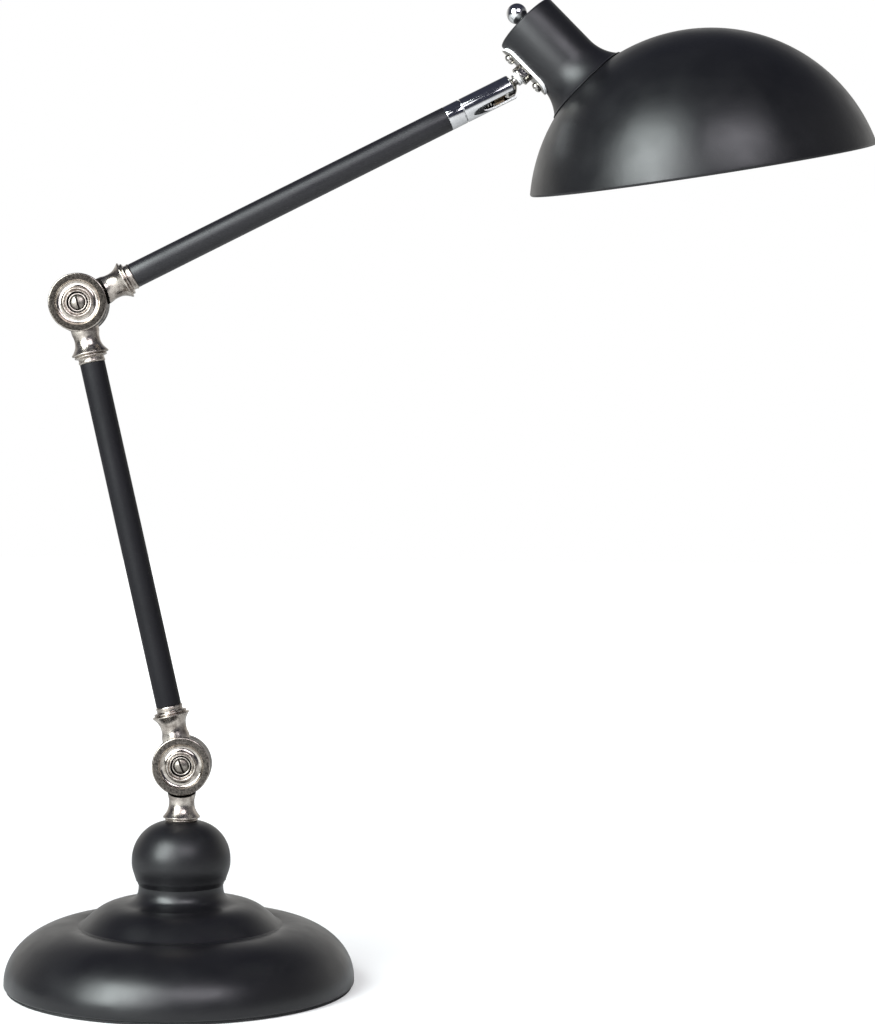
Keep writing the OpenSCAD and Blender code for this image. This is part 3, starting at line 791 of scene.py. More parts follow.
class Finishes:
    """Every finish on the lamp, made once."""

    coat = PowderCoat("satin black coat", (0.0034, 0.0032, 0.0043), (0.0046, 0.0043, 0.0058),
                      Sheen.SOFT).make()
    base_coat = PowderCoat("satin black base coat", (0.0032, 0.0030, 0.0040),
                           (0.0044, 0.0041, 0.0054), gleam=0.54).make()
    tube_coat = PowderCoat("satin black tube coat", (0.0038, 0.0034, 0.0050),
                           (0.0052, 0.0047, 0.0068), Sheen.SOFT, depth=0.000008).make()
    matt_coat = PowderCoat("matt black tube coat", (0.0036, 0.0033, 0.0046),
                           (0.0050, 0.0046, 0.0064), Sheen.MATT, depth=0.000008,
                           gleam=0.22).make()
    shade_coat = PowderCoat("satin black shade coat", (0.0029, 0.0029, 0.0037),
                            (0.0040, 0.0040, 0.0050), grain=1300.0, depth=0.000022).make()
    inside = PowderCoat("white inner coat", (0.80, 0.79, 0.765), (0.84, 0.83, 0.81), Sheen.MATT,
                        900.0, 0.00001).make()
    nickel = PlatedMetal("polished nickel", (0.23, 0.198, 0.175), (0.60, 0.545, 0.49),
                         (0.2, 0.31), 0.0001, 230.0).make()
    # Smoother nickel for the cove, with its dark tone lifted a little above the rest: partly a
    # painted reflection.
    cove = PlatedMetal("bright nickel cove", (0.27, 0.24, 0.21), (0.60, 0.55, 0.50),
                       (0.12, 0.2), 0.00006, 260.0).make()
    # The dull ring on a disc's face comes in two copies: this lighter one paints the light on the
    # lower hinge's ring.
    grey_nickel = PlatedMetal("greyed nickel ring", (0.026, 0.023, 0.020), (0.15, 0.133, 0.118),
                              (0.32, 0.48), 0.00004, 900.0, 0.00003).make()
    # The darker copy of the dull ring paints the elbow's rings in shade.
    worn_nickel = PlatedMetal("worn nickel ring", (0.012, 0.0105, 0.009), (0.058, 0.051, 0.044),
                              (0.34, 0.5), 0.00004, 900.0, 0.00003).make()
    # Near-black metal for the hinges' gaps and recesses and the screws' slots: painted shade.
    recess_shade = PlatedMetal("blackened recess", (0.010, 0.009, 0.008), (0.030, 0.027, 0.024),
                            (0.45, 0.6), 0.00002, 900.0).make()
    screw = PlatedMetal("dulled nickel screw", (0.13, 0.113, 0.098), (0.34, 0.31, 0.275),
                        (0.3, 0.42), 0.00003, 500.0).make()
    chrome = PlatedMetal("bright chrome", (0.60, 0.60, 0.61), (0.74, 0.74, 0.745),
                         (0.05, 0.13)).make()
    warm_chrome = PlatedMetal("warm chrome", (0.34, 0.325, 0.30), (0.56, 0.54, 0.51),
                              (0.09, 0.17), 0.00004, 300.0).make()
    steel = PlatedMetal("zinc plated steel", (0.42, 0.42, 0.40), (0.62, 0.61, 0.57),
                        (0.25, 0.4), 0.00001, 300.0).make()
    brass = PlatedMetal("contact brass", (0.60, 0.45, 0.20), (0.76, 0.60, 0.31),
                        (0.16, 0.3), 0.00001, 260.0).make()
    bronze = PlatedMetal("seat bronze", (0.16, 0.11, 0.07), (0.26, 0.19, 0.12),
                         (0.22, 0.36), 0.00001, 300.0).make()
    cast = PlatedMetal("cast iron", (0.10, 0.10, 0.105), (0.20, 0.20, 0.205),
                       (0.5, 0.7), 0.00005, 500.0, 0.00005).make()
    foam = Moulded("black foam", (0.010, 0.010, 0.011), (0.022, 0.022, 0.023), (0.8, 0.95),
                   1400.0, 0.00012).make()
    rubber = Moulded("black rubber", (0.012, 0.012, 0.012), (0.02, 0.02, 0.021),
                     (0.5, 0.65)).make()
    fibre = Moulded("vulcan fibre", (0.018, 0.014, 0.011), (0.035, 0.027, 0.02),
                    (0.6, 0.8), 2000.0).make()
    black = Moulded("black moulding", (0.012, 0.012, 0.013), (0.018, 0.018, 0.019), (0.3, 0.42),
                    700.0, 0.000006).make()
    white = Moulded("white moulding", (0.74, 0.72, 0.67), (0.80, 0.78, 0.73), (0.3, 0.42),
                    500.0, 0.000006, 0.2).make()
    opal = OpalGlass().make()


# ---------------------------------------------------------------- places


class Places:
    """Where each assembly stands at rest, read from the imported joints; scale turns mm into m."""

    def __init__(self, head: "Head") -> None:
        """Reads the joints.

        Args:
            head: the head, whose sizes set the cup and the shade off from the ball.
        """
        spot = {j["name"]: Vector(j["pos_m"]) for j in frame["joints"]}
        axis = {j["name"]: Vector(j["axis"]).normalized() for j in frame["joints"]}
        hinge, elbow, ball = spot["lower_hinge"], spot["elbow"], spot["ball_tilt"]
        arm, stud, cup = (elbow - hinge).normalized(), axis["head_turn"], axis["knob_turn"]
        self.table = self.stand(Vector(), ACROSS, UP)
        self.post = self.stand(hinge, ACROSS, -UP)
        self.lower = self.stand(hinge, ACROSS, arm)
        self.elbow = self.stand(elbow, ACROSS, -arm)
        self.elbow_pin = self.stand(elbow, ACROSS, UP)
        self.upper = self.stand(elbow, ACROSS, axis["sleeve_turn"])
        self.sleeve = self.stand(spot["sleeve_turn"], ACROSS, axis["sleeve_turn"])
        self.head = self.stand(ball, stud.cross(cup), stud)
        self.cup = self.stand(ball + stud * head.offset / 1000, stud.cross(cup), cup)
        self.shade = (self.cup @ raised(head.shade_z) @ rotated(head.turn, "Z")
                      @ rotated(180 + head.tilt, "Y"))

    @staticmethod
    def stand(origin: Vector, y: Vector, z: Vector) -> Matrix:
        """A frame for millimetres.

        Args:
            origin: its origin in metres.
            y, z: two of its axes.
        Returns:
            The frame's matrix.
        """
        x = y.cross(z).normalized()
        turn = Matrix((x, y.normalized(), z.normalized())).transposed().to_4x4()
        return Matrix.Translation(origin) @ turn @ Matrix.Scale(MM, 4)


class Fit:
    """Puts finished pieces on the frame and reports them."""

    sharp = math.radians(38)

    @classmethod
    def seat(cls, piece: Piece, place: Matrix, body: str, slot: str, node: str) -> None:
        """Carries a piece to its place, and hides the node that it stands for.

        Args:
            piece: the piece, in its own frame in millimetres.
            place: the frame's matrix.
            body: the body that it rides on.
            slot: the record's material slot; not used.
            node: the CAD node that it replaces.
        """
        piece.data.transform(place)
        piece.data.shade_smooth()
        piece.data.set_sharp_from_angle(angle=cls.sharp)
        piece.data.update()
        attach(piece, body)
        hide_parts(node)
        LOG.info("%s: %d faces on %s", piece.name, len(piece.data.polygons), body)

    @staticmethod
    def dress(material: Finish, *nodes: str) -> None:
        """Gives nodes that are kept from the CAD a finish.

        Args:
            material: the finish.
            nodes: their names.
        """
        for name in nodes:
            for slot in frame["nodes"][name].material_slots:
                slot.material = material
            LOG.info("%s: kept, now in %s", name, material.name)

    @staticmethod
    def region(piece: Piece, material: Finish, test: Callable[[Vector], bool]) -> None:
        """Gives some faces of a piece another finish.

        Args:
            piece: the piece.
            material: the other finish.
            test: a function of a face's centre that says whether it gets it.
        """
        piece.data.materials.append(material)
        last = len(piece.data.materials) - 1
        for face in piece.data.polygons:
            if test(face.center):
                face.material_index = last


# ---------------------------------------------------------------- sub-assemblies


@dataclass
class Base:
    """Spun base with its ball-shaped collar, foam pad, cord bush and thin washer on top."""

    r: float = 90.6
    wall: float = 1.6
    pad: float = 1.5
    pad_in: float = 1.2
    lip: float = 9.0
    step_r: float = 53.0
    step_z: float = 31.7
    shoulder_r: float = 30.0
    shoulder_z: float = 43.4
    neck: float = 21.9
    joint_z: float = 55.0
    ball: float = 25.6
    ball_z: float = 64.5
    top: float = 85.4
    washer: float = 0.5
    washer_r: float = 8.0
    hole: float = 5.2
    gland_z: float = 9.4
    gland: float = 2.7

    def rearward(self, start: float) -> Matrix:
        """The place of a piece that points to the rear at the cord's height."""
        return Matrix.Translation((0, start, self.gland_z)) @ rotated(-90, "X")

    def shell(self) -> Piece:
        """The spun shell with its turned-in lip and the cord hole.

        Returns:
            The shell, standing at height 0.
        """
        r, wall, pad, hole, top = self.r, self.wall, self.pad, self.hole, self.joint_z
        step, step_z, shoulder, high = self.step_r, self.step_z, self.shoulder_r, self.shoulder_z
        neck, edge = self.neck, 0.8
        outer = [(r - self.lip, pad), (r - edge, pad), (r, pad + edge)]
        outer += curve((r, pad + 2.2), (r, step_z - 7), (step + 11.5, step_z + 3.2),
                       (step, step_z), 40)
        outer += curve((step - 1.2, step_z + 0.4), (step - 7.6, step_z + 6),
                       (shoulder + 11, high - 0.1), (shoulder, high), 22)
        outer += curve((shoulder - 1.2, high + 0.15), (neck + 1.2, high + 1.2),
                       (neck, high + 4.2), (neck, top - 2.6), 22)
        outer += [(neck + 0.9, top - 0.5), (neck + 1.1, top)]
        path = outer + [(hole, top), (hole, top - wall), (neck - wall, top - wall)]
        path += beside(outer[3:-2], -wall)[::-1]
        path += [(r - wall, pad + wall), (r - self.lip, pad + wall)]
        piece = Shop.turned("base_shell_spun", eased(path, 0.5, True), Finishes.base_coat, 224)
        drill = Shop.turned("drill", plug(self.gland + 1.3, 0, 12), segments=48)
        return Shop.work(piece, "DIFFERENCE", Shop.moved(drill, self.rearward(r - 9)))

    def collar(self) -> Piece:
        """The ball-shaped collar that stands on the neck.

        Returns:
            The collar at its height.
        """
        neck, ball, mid, low, top = self.neck, self.ball, self.ball_z, self.joint_z, self.top
        wall, hole = self.wall, self.hole
        outer = curve((neck + 1.4, low), (ball - 1.7, low + 3), (ball, mid - 4), (ball, mid), 20)
        outer += curve((ball, mid + 1), (ball, mid + 12), (17.4, top - 0.8), (8.4, top), 36)
        path = [(hole, low)] + outer + [(hole, top), (hole, top - wall)]
        path += beside(outer, -wall)[4:-1][::-1] + [(neck, low + wall), (hole, low + wall)]
        return Shop.turned("base_collar_spun", eased(path, 0.35, True), Finishes.coat, 160)

    def bush(self) -> Piece:
        """The rubber bush in the back of the base.

        Returns:
            The bush, with a flange on each side of the wall.
        """
        body, bore, end, flange = self.gland + 1.2, self.gland, self.wall + 6, 1
        path = [(bore, 0), (body + flange, 0), (body + flange, 1.5), (body, 1.5),
                (body, end - 1.4), (body + flange, end - 1.4), (body + flange, end), (bore, end)]
        piece = Shop.turned("cord_bush", eased(path, 0.3, True), Finishes.rubber, 48)
        return Shop.moved(piece, self.rearward(self.r - self.wall - 4.4))

    def foot(self) -> Piece:
        """The foam pad under the base."""
        path = plug(self.r - self.pad_in, 0, self.pad)
        return Shop.turned("foam_pad", eased(path, 0.4), Finishes.foam, 160)

    def top_washer(self) -> Piece:
        """The thin washer between the collar and the hinge.

        Returns:
            The washer on the collar.
        """
        path = [(self.hole, 0), (self.washer_r, 0), (self.washer_r, self.washer),
                (self.hole, self.washer)]
        piece = Shop.turned("top_washer", eased(path, 0.12, True), Finishes.fibre, 72)
        return Shop.moved(piece, raised(self.top))

    def build(self, at: Places) -> None:
        """Makes, seats and dresses the base.

        Args:
            at: where the assemblies stand.
        """
        Fit.seat(self.shell(), at.table, "base", "satin_black", "base_shell")
        Fit.seat(self.collar(), at.table, "base", "satin_black", "base_collar")
        Fit.seat(self.foot(), at.table, "base", "foam", "base_pad")
        Fit.seat(self.bush(), at.table, "base", "foam", "cord_gland")
        Fit.seat(self.top_washer(), at.table, "base", "fibre", "collar_washer")
        Fit.dress(Finishes.cast, "base_weight")
        Fit.dress(Finishes.steel, "base_nipple", "base_washer", "base_nut")


class Side(Enum):
    """Which half of a hinge a knuckle is: the one in front or the one behind."""

    FRONT = -1
    REAR = 1


@dataclass
class Hinge:
    """Turned disc knuckles with their ferrules, screws and nuts."""

    disc: float = 15.1
    half: float = 7.9
    face: float = 0.35
    bore: float = 2.55
    recess: float = 5.5
    recess_d: float = 3.2
    lip: float = 4.75
    lip_w: float = 0.7
    lip_h: float = 1.3
    groove_d: float = 1.9
    groove_in: float = 7.4
    groove_out: float = 11.6
    root: float = 12.3
    waist: float = 6.6
    flare: float = 9.6
    length: float = 31.8
    tube: float = 6.5
    gap: float = 1.3
    head: float = 3.7
    shank: float = 2.5
    slot: float = 0.5
    nut_flats: float = 8.0
    nut_h: float = 2.4
    chamfer: float = 0.45
    foot: float = 0.0859  # metres: the height at which the base's ferrule starts

    def disc_path(self) -> Path:
        """Half profile of the disc: rim, cove, beads and the recess with its lip.

        Returns:
            The points, to be closed on themselves.
        """
        r, t, gi, go = self.disc, self.half, self.groove_in, self.groove_out
        floor, lip, lip_in = t - self.recess_d, self.lip, self.lip - self.lip_w
        path = [(self.bore, self.face), (r - 0.5, self.face), (r, self.face + 0.5), (r, t - 0.7)]
        path += arc((r - 0.7, t - 0.7), 0.7, 0, 90, 6)[1:] + [(go + 0.15, t)]
        path += curve((go, t - 0.15), (go - 0.9, t - self.groove_d), (gi + 1.6, t - self.groove_d),
                      (gi + 0.35, t - 0.7), 14)
        path += arc((gi - 0.25, t - 0.6), 0.6, 0, 160, 10)
        path += [(gi - 1.1, t - 1), (self.recess + 0.7, t - 1), (self.recess + 0.5, t - 0.7),
                 (self.recess, t - 0.7), (self.recess, floor), (lip, floor),
                 (lip, floor + self.lip_h), (lip_in, floor + self.lip_h), (lip_in, floor),
                 (self.bore, floor)]
        return path

    def ferrule_path(self, end: float, ring: bool) -> Path:
        """Half profile of a ferrule.

        Args:
            end: distance from the hinge to its end.
            ring: whether it ends in the ring where a tube starts.
        Returns:
            The points from axis to axis.
        """
        flare_s = end - (5.4 if ring else 2.2)
        w, f = self.waist, self.flare
        edge = self.tube + 0.4 if ring else 8.6
        path = [(0, self.root), (w + 0.8, self.root), (w + 0.6, 15.8), (w + 0.1, 17.6), (w, 18.8)]
        path += curve((w, 19.8), (w + 0.1, 22.8), (f - 1.9, flare_s - 2.2), (f, flare_s), 18)
        path += [(f, flare_s + 0.6), (f - 1.5, flare_s + 1)]
        path += arc((f - 1.65, flare_s + 1.65), 0.55, -70, 80, 8)
        if ring:
            path += [(edge - 0.2, flare_s + 2.6)] + arc((edge - 0.9, end - 0.95), 0.95, -40, 90, 8)
            return path + [(0, end)]
        return path + [(edge - 0.9, end), (0, end)]

    def knuckle(self, name: str, side: Side, end: float, ring: bool, dull: Finish) -> Piece:
        """One half of a hinge with its ferrule along Z.

        Args:
            name: the piece's name.
            side: front or rear.
            end: distance from the hinge to the ferrule's end.
            ring: whether a tube starts there.
            dull: the finish of the ring on its face.
        Returns:
            The knuckle, in nickel with a dulled ring on its face.
        """
        lay, reach, depth = rotated(-90 * side.value, "X"), self.disc + self.gap, 12
        piece = Shop.turned(name, eased(self.ferrule_path(end, ring), 0.22), Finishes.nickel, 112)
        relief = Shop.turned("relief", plug(reach, self.face - depth, self.face), segments=112)
        Shop.work(piece, "DIFFERENCE", Shop.moved(relief, lay))
        disc = Shop.turned("disc", eased(self.disc_path(), 0.2, True), Finishes.nickel, 144)
        Shop.work(piece, "UNION", Shop.moved(disc, lay))

        def spot(c: Vector) -> Point:
            """Depth and radius of a face's centre on the disc."""
            return c.y * side.value, math.hypot(c.x, c.z)

        def dull_band(c: Vector) -> bool:
            """Says whether a face is on the dulled ring or round the disc's rim.

            Args:
                c: the face's centre.
            Returns:
                Whether it is.
            """
            y, r = spot(c)
            flat = y > self.half - 0.2 and self.groove_out + 0.1 < r < self.disc - 0.55
            return flat or (abs(r - self.disc) < 0.03 and self.face + 0.6 < y < self.half - 0.8)

        # Faces in the gap between the knuckles and in the recess get painted shade.
        def black(c: Vector) -> bool:
            """Says whether a face is in the gap between the knuckles or in the recess.

            Args:
                c: the face's centre.
            Returns:
                Whether it is.
            """
            y, r = spot(c)
            if y < self.face + 0.02:
                return self.disc - 0.6 < r < reach + 0.12
            channel = self.lip + 0.05 < r < self.recess + 0.15 or r < self.lip - 0.65
            return y < self.half - 1.05 and channel

        def bright(c: Vector) -> bool:
            """Says whether a face is in the cove."""
            y, r = spot(c)
            return y > self.half - 2.2 and self.groove_in < r < self.groove_out + 0.05

        # The dull band covers the face ring and the side of the rim, in the hinge's lighter or
        # darker copy.
        Fit.region(piece, dull, dull_band)
        # The cove's lighter copy of the nickel is partly a painted reflection.
        Fit.region(piece, Finishes.cove, bright)
        # Painted shade in the gap between the knuckles and in the recess.
        Fit.region(piece, Finishes.recess_shade, black)
        return piece

    def screw(self, name: str, lean: float) -> Piece:
        """Domed screw with a slot, in the front recess.

        Args:
            name: the piece's name.
            lean: turn of the slot in degrees.
        Returns:
            The screw along -Y.
        """
        floor, r, end = self.half - self.recess_d, self.head, -self.half + 0.9
        path = [(0, end), (self.shank, end), (self.shank, floor), (r, floor), (r, floor + 1)]
        path += curve((r, floor + 1.1), (r - 0.3, floor + 1.7), (1.6, floor + 2.3),
                      (0, floor + 2.3), 12)
        piece = Shop.turned(name, eased(path, 0.15), Finishes.screw, 72)
        saw = Shop.moved(Shop.saw(self.slot, 9, floor + 1, floor + 5), rotated(lean, "Z"))
        Shop.soften(Shop.work(piece, "DIFFERENCE", saw), 0.1)
        back = rotated(-lean, "Z")
        # Painted shade on the walls and floor of the slot.
        Fit.region(piece, Finishes.recess_shade, lambda c: abs((back @ c).x) < self.slot + 0.02
                   and floor + 0.9 < c.z < floor + 2.05)
        return Shop.moved(piece, rotated(90, "X"))

    def nut(self, name: str) -> Piece:
        """Hexagon nut in the rear recess, with chamfered corners.

        Args:
            name: the piece's name.
        Returns:
            The nut along Y.
        """
        low = self.half - self.recess_d + 0.05
        piece = Shop.hexagon(name, self.nut_flats, low, low + self.nut_h, self.chamfer,
                             Finishes.nickel)
        drill = Shop.turned("drill", plug(self.bore, low - 1, low + 4), segments=48)
        return Shop.moved(Shop.work(piece, "DIFFERENCE", drill), rotated(-90, "X"))

    def build(self, at: Places) -> None:
        """Makes, seats and dresses both hinges.

        Args:
            at: where the assemblies stand.
        """
        post = (at.post.translation.z - self.foot) * 1000
        # The lower hinge gets the lighter ring copy and the elbow the darker one: painted light and
        # painted shade.
        grey, dull_band, n = Finishes.grey_nickel, Finishes.worn_nickel, self.length
        for name, side, end, ring, dull, place, body, node in (
                ("base_knuckle_turned", Side.REAR, post, False, grey, at.post, "base",
                 "base_knuckle"),
                ("lower_knuckle_turned", Side.FRONT, n, True, grey, at.lower, "lower_arm",
                 "lower_arm_knuckle"),
                ("elbow_front_turned", Side.FRONT, n, True, dull_band, at.elbow, "lower_arm",
                 "elbow_front_knuckle"),
                ("elbow_rear_turned", Side.REAR, n, True, dull_band, at.upper, "upper_arm",
                 "elbow_rear_knuckle")):
            Fit.seat(self.knuckle(name, side, end, ring, dull), place, body, "nickel", node)
        for piece, place, node in (
                (self.screw("lower_screw_slotted", 8), at.lower, "lower_hinge_screw"),
                (self.screw("elbow_screw_slotted", 16), at.elbow_pin, "elbow_screw"),
                (self.nut("lower_nut_hex"), at.lower, "lower_hinge_nut"),
                (self.nut("elbow_nut_hex"), at.elbow_pin, "elbow_nut")):
            Fit.seat(piece, place, "lower_arm", "nickel", node)
        Fit.dress(Finishes.fibre, "lower_friction_washer", "elbow_friction_washer")


@dataclass
class Arms:
    """Two drawn tubes and the chrome collar at the end of the upper one."""

    r: float = 6.5
    wall: float = 1.0
    length: float = 182.0
    start: float = 31.8
    rings: int = 12
    collar: float = 9.0
    spigot: float = 10.0
    bolt: float = 3.05

    def tube(self, name: str, coat: Finish) -> Piece:
        """A coated tube with eased ends.

        Args:
            name: the piece's name.
            coat: its finish.
        Returns:
            The tube along Z, with a few rings of vertices on the way.
        """
        a, b, inner = self.start, self.start + self.length, self.r - self.wall
        path = [(inner, a)]
        path += [(self.r, a + self.length * k / self.rings) for k in range(self.rings)]
        path += [(self.r, b), (inner, b)]
        return Shop.turned(name, eased(path, 0.15, True), coat, 96)

    def end_collar(self) -> Piece:
        """The collar, with a spigot into the tube and a bore for the bolt.

        Returns:
            The collar along Z.
        """
        z, r, n, bore = self.start + self.length, self.r, self.collar, self.bolt
        fit = r - self.wall - 0.05
        path = [(bore, z - self.spigot), (fit, z - self.spigot), (fit, z), (r - 0.15, z),
                (r, z + 0.15), (r, z + n - 0.4), (r - 0.4, z + n), (bore, z + n)]
        return Shop.turned("end_collar_turned", eased(path, 0.15, True), Finishes.chrome, 112)

    def build(self, at: Places) -> None:
        """Makes and seats the tubes and the collar.

        Args:
            at: where the assemblies stand.
        """
        Fit.seat(self.tube("lower_tube_drawn", Finishes.matt_coat), at.lower, "lower_arm",
                 "satin_black", "lower_arm_tube")
        Fit.seat(self.tube("upper_tube_drawn", Finishes.tube_coat), at.upper, "upper_arm",
                 "satin_black", "upper_arm_tube")
        Fit.seat(self.end_collar(), at.upper, "upper_arm", "chrome", "arm_end_collar")


@dataclass
class BallJoint:
    """Slotted sleeve that turns on the arm's end, with spring, seat, ball stud and lock nut."""

    length: float = 28.5
    r: float = 6.5
    bolt: float = 3.05
    ball: float = 5.2
    play: float = 0.08
    depth: float = 2.8
    floor: float = 3.0
    slot: float = 5.2
    slot_len: float = 19.0
    slot_turn: float = 40.0
    neck: float = 2.2
    stud: float = 3.75
    thread: Thread = Thread(1.0, 0.34, 0.42, 0.04, 0.8)
    tip: float = 15.1
    coil: float = 4.2
    wire: float = 0.5
    seat: float = 4.0
    bolt_head: float = 2.4
    nut_flats: float = 9.0
    nut_top: float = 12.65
    nut_h: float = 4.0
    chamfer: float = 0.5
    flange: float = 0.1
    flange_h: float = 1.0

    def sleeve(self) -> Piece:
        """The sleeve, its pointed slot cut through one side.

        Returns:
            The sleeve along Z, from the collar on.
        """
        n, r, bore, hole = self.length, self.r, self.ball + 0.1, self.bolt
        cup, mid = self.ball + self.play, self.length - self.depth
        mouth = math.degrees(math.asin(self.depth / cup))
        path = [(hole, 0), (r - 0.4, 0), (r, 0.4), (r, n - 0.9), (r - 0.3, n - 0.3), (r - 0.9, n)]
        path += arc((0, mid), cup, mouth, 0, 10)
        path += [(bore, mid - 0.3), (bore, self.floor), (hole, self.floor)]
        piece = Shop.turned("ball_sleeve_slotted", eased(path, 0.12, True), Finishes.chrome, 128)
        wide, foot = self.slot / 2, n - self.slot_len
        half = [(wide * math.sin(i * math.pi / 24), foot + (i / 12) ** 1.5 * 8)
                for i in range(13)]
        outline = half + [(wide, n + 2), (-wide, n + 2)]
        outline += [(-x, y) for x, y in half[:0:-1]]
        saw = Shop.prism("saw", outline, 0, 2 * r)
        # This stand mirrors the saw, so its faces are turned outwards again after it.
        stand = Matrix(((0, 0, 1, 0), (-1, 0, 0, 0), (0, 1, 0, 0), (0, 0, 0, 1)))
        Shop.moved(saw, rotated(-self.slot_turn, "Z") @ stand)
        return Shop.soften(Shop.work(piece, "DIFFERENCE", Shop.outward(saw)), 0.12)

    def spring(self) -> Piece:
        """The coil spring between the bolt's head and the ball's seat.

        Returns:
            The spring along Z.
        """
        low = self.floor + self.bolt_head + 0.3 + self.wire
        high = self.length - self.depth - self.ball - self.seat - 0.2 - self.wire
        return Shop.wound("ball_spring_wound", arc((0, 0), self.wire, 0, 330, 11), self.coil, low,
                          high - low, 6.0, 32, Finishes.steel)

    def ball_stud(self) -> Piece:
        """Ball, neck and threaded shank.

        Returns:
            The stud along Z, its ball's centre at the origin.
        """
        neck, start, tip, thread = self.neck, self.ball + 0.7, self.tip, self.thread
        core = self.stud - thread.height
        path = arc((0, 0), self.ball, -90, math.degrees(math.acos(neck / self.ball)), 30)
        path[0] = (0, -self.ball)
        path += [(neck, start), (core - 0.3, start), (core, start + 0.3), (core, tip - 0.4),
                 (core - 0.4, tip), (0, tip)]
        piece = Shop.turned("ball_stud_turned", eased(path, 0.12), Finishes.warm_chrome, 96)
        return Shop.joined(piece, thread.cut(core, start, tip, 48, Finishes.warm_chrome))

    def nut(self) -> Piece:
        """Hexagon lock nut with a round flange.

        Returns:
            The nut at its height on the stud.
        """
        low, finish = self.nut_top - self.nut_h, Finishes.warm_chrome
        piece = Shop.hexagon("lock_nut_flanged", self.nut_flats, low, self.nut_top,
                             self.chamfer, finish)
        flange = plug(Shop.corner(self.nut_flats) + self.flange, low, low + self.flange_h)
        return Shop.joined(piece, Shop.turned("flange", eased(flange, 0.2), finish, 72))

    def build(self, at: Places) -> None:
        """Makes, seats and dresses the joint.

        Args:
            at: where the assemblies stand.
        """
        Fit.seat(self.sleeve(), at.sleeve, "sleeve", "chrome", "ball_sleeve")
        Fit.seat(self.spring(), at.sleeve, "sleeve", "zinc_steel", "ball_spring")
        Fit.seat(self.ball_stud(), at.head, "stud", "chrome", "ball_stud")
        Fit.seat(self.nut(), at.head, "head", "chrome", "lock_nut")
        Fit.dress(Finishes.bronze, "ball_seat")
        Fit.dress(Finishes.chrome, "swivel_bolt")


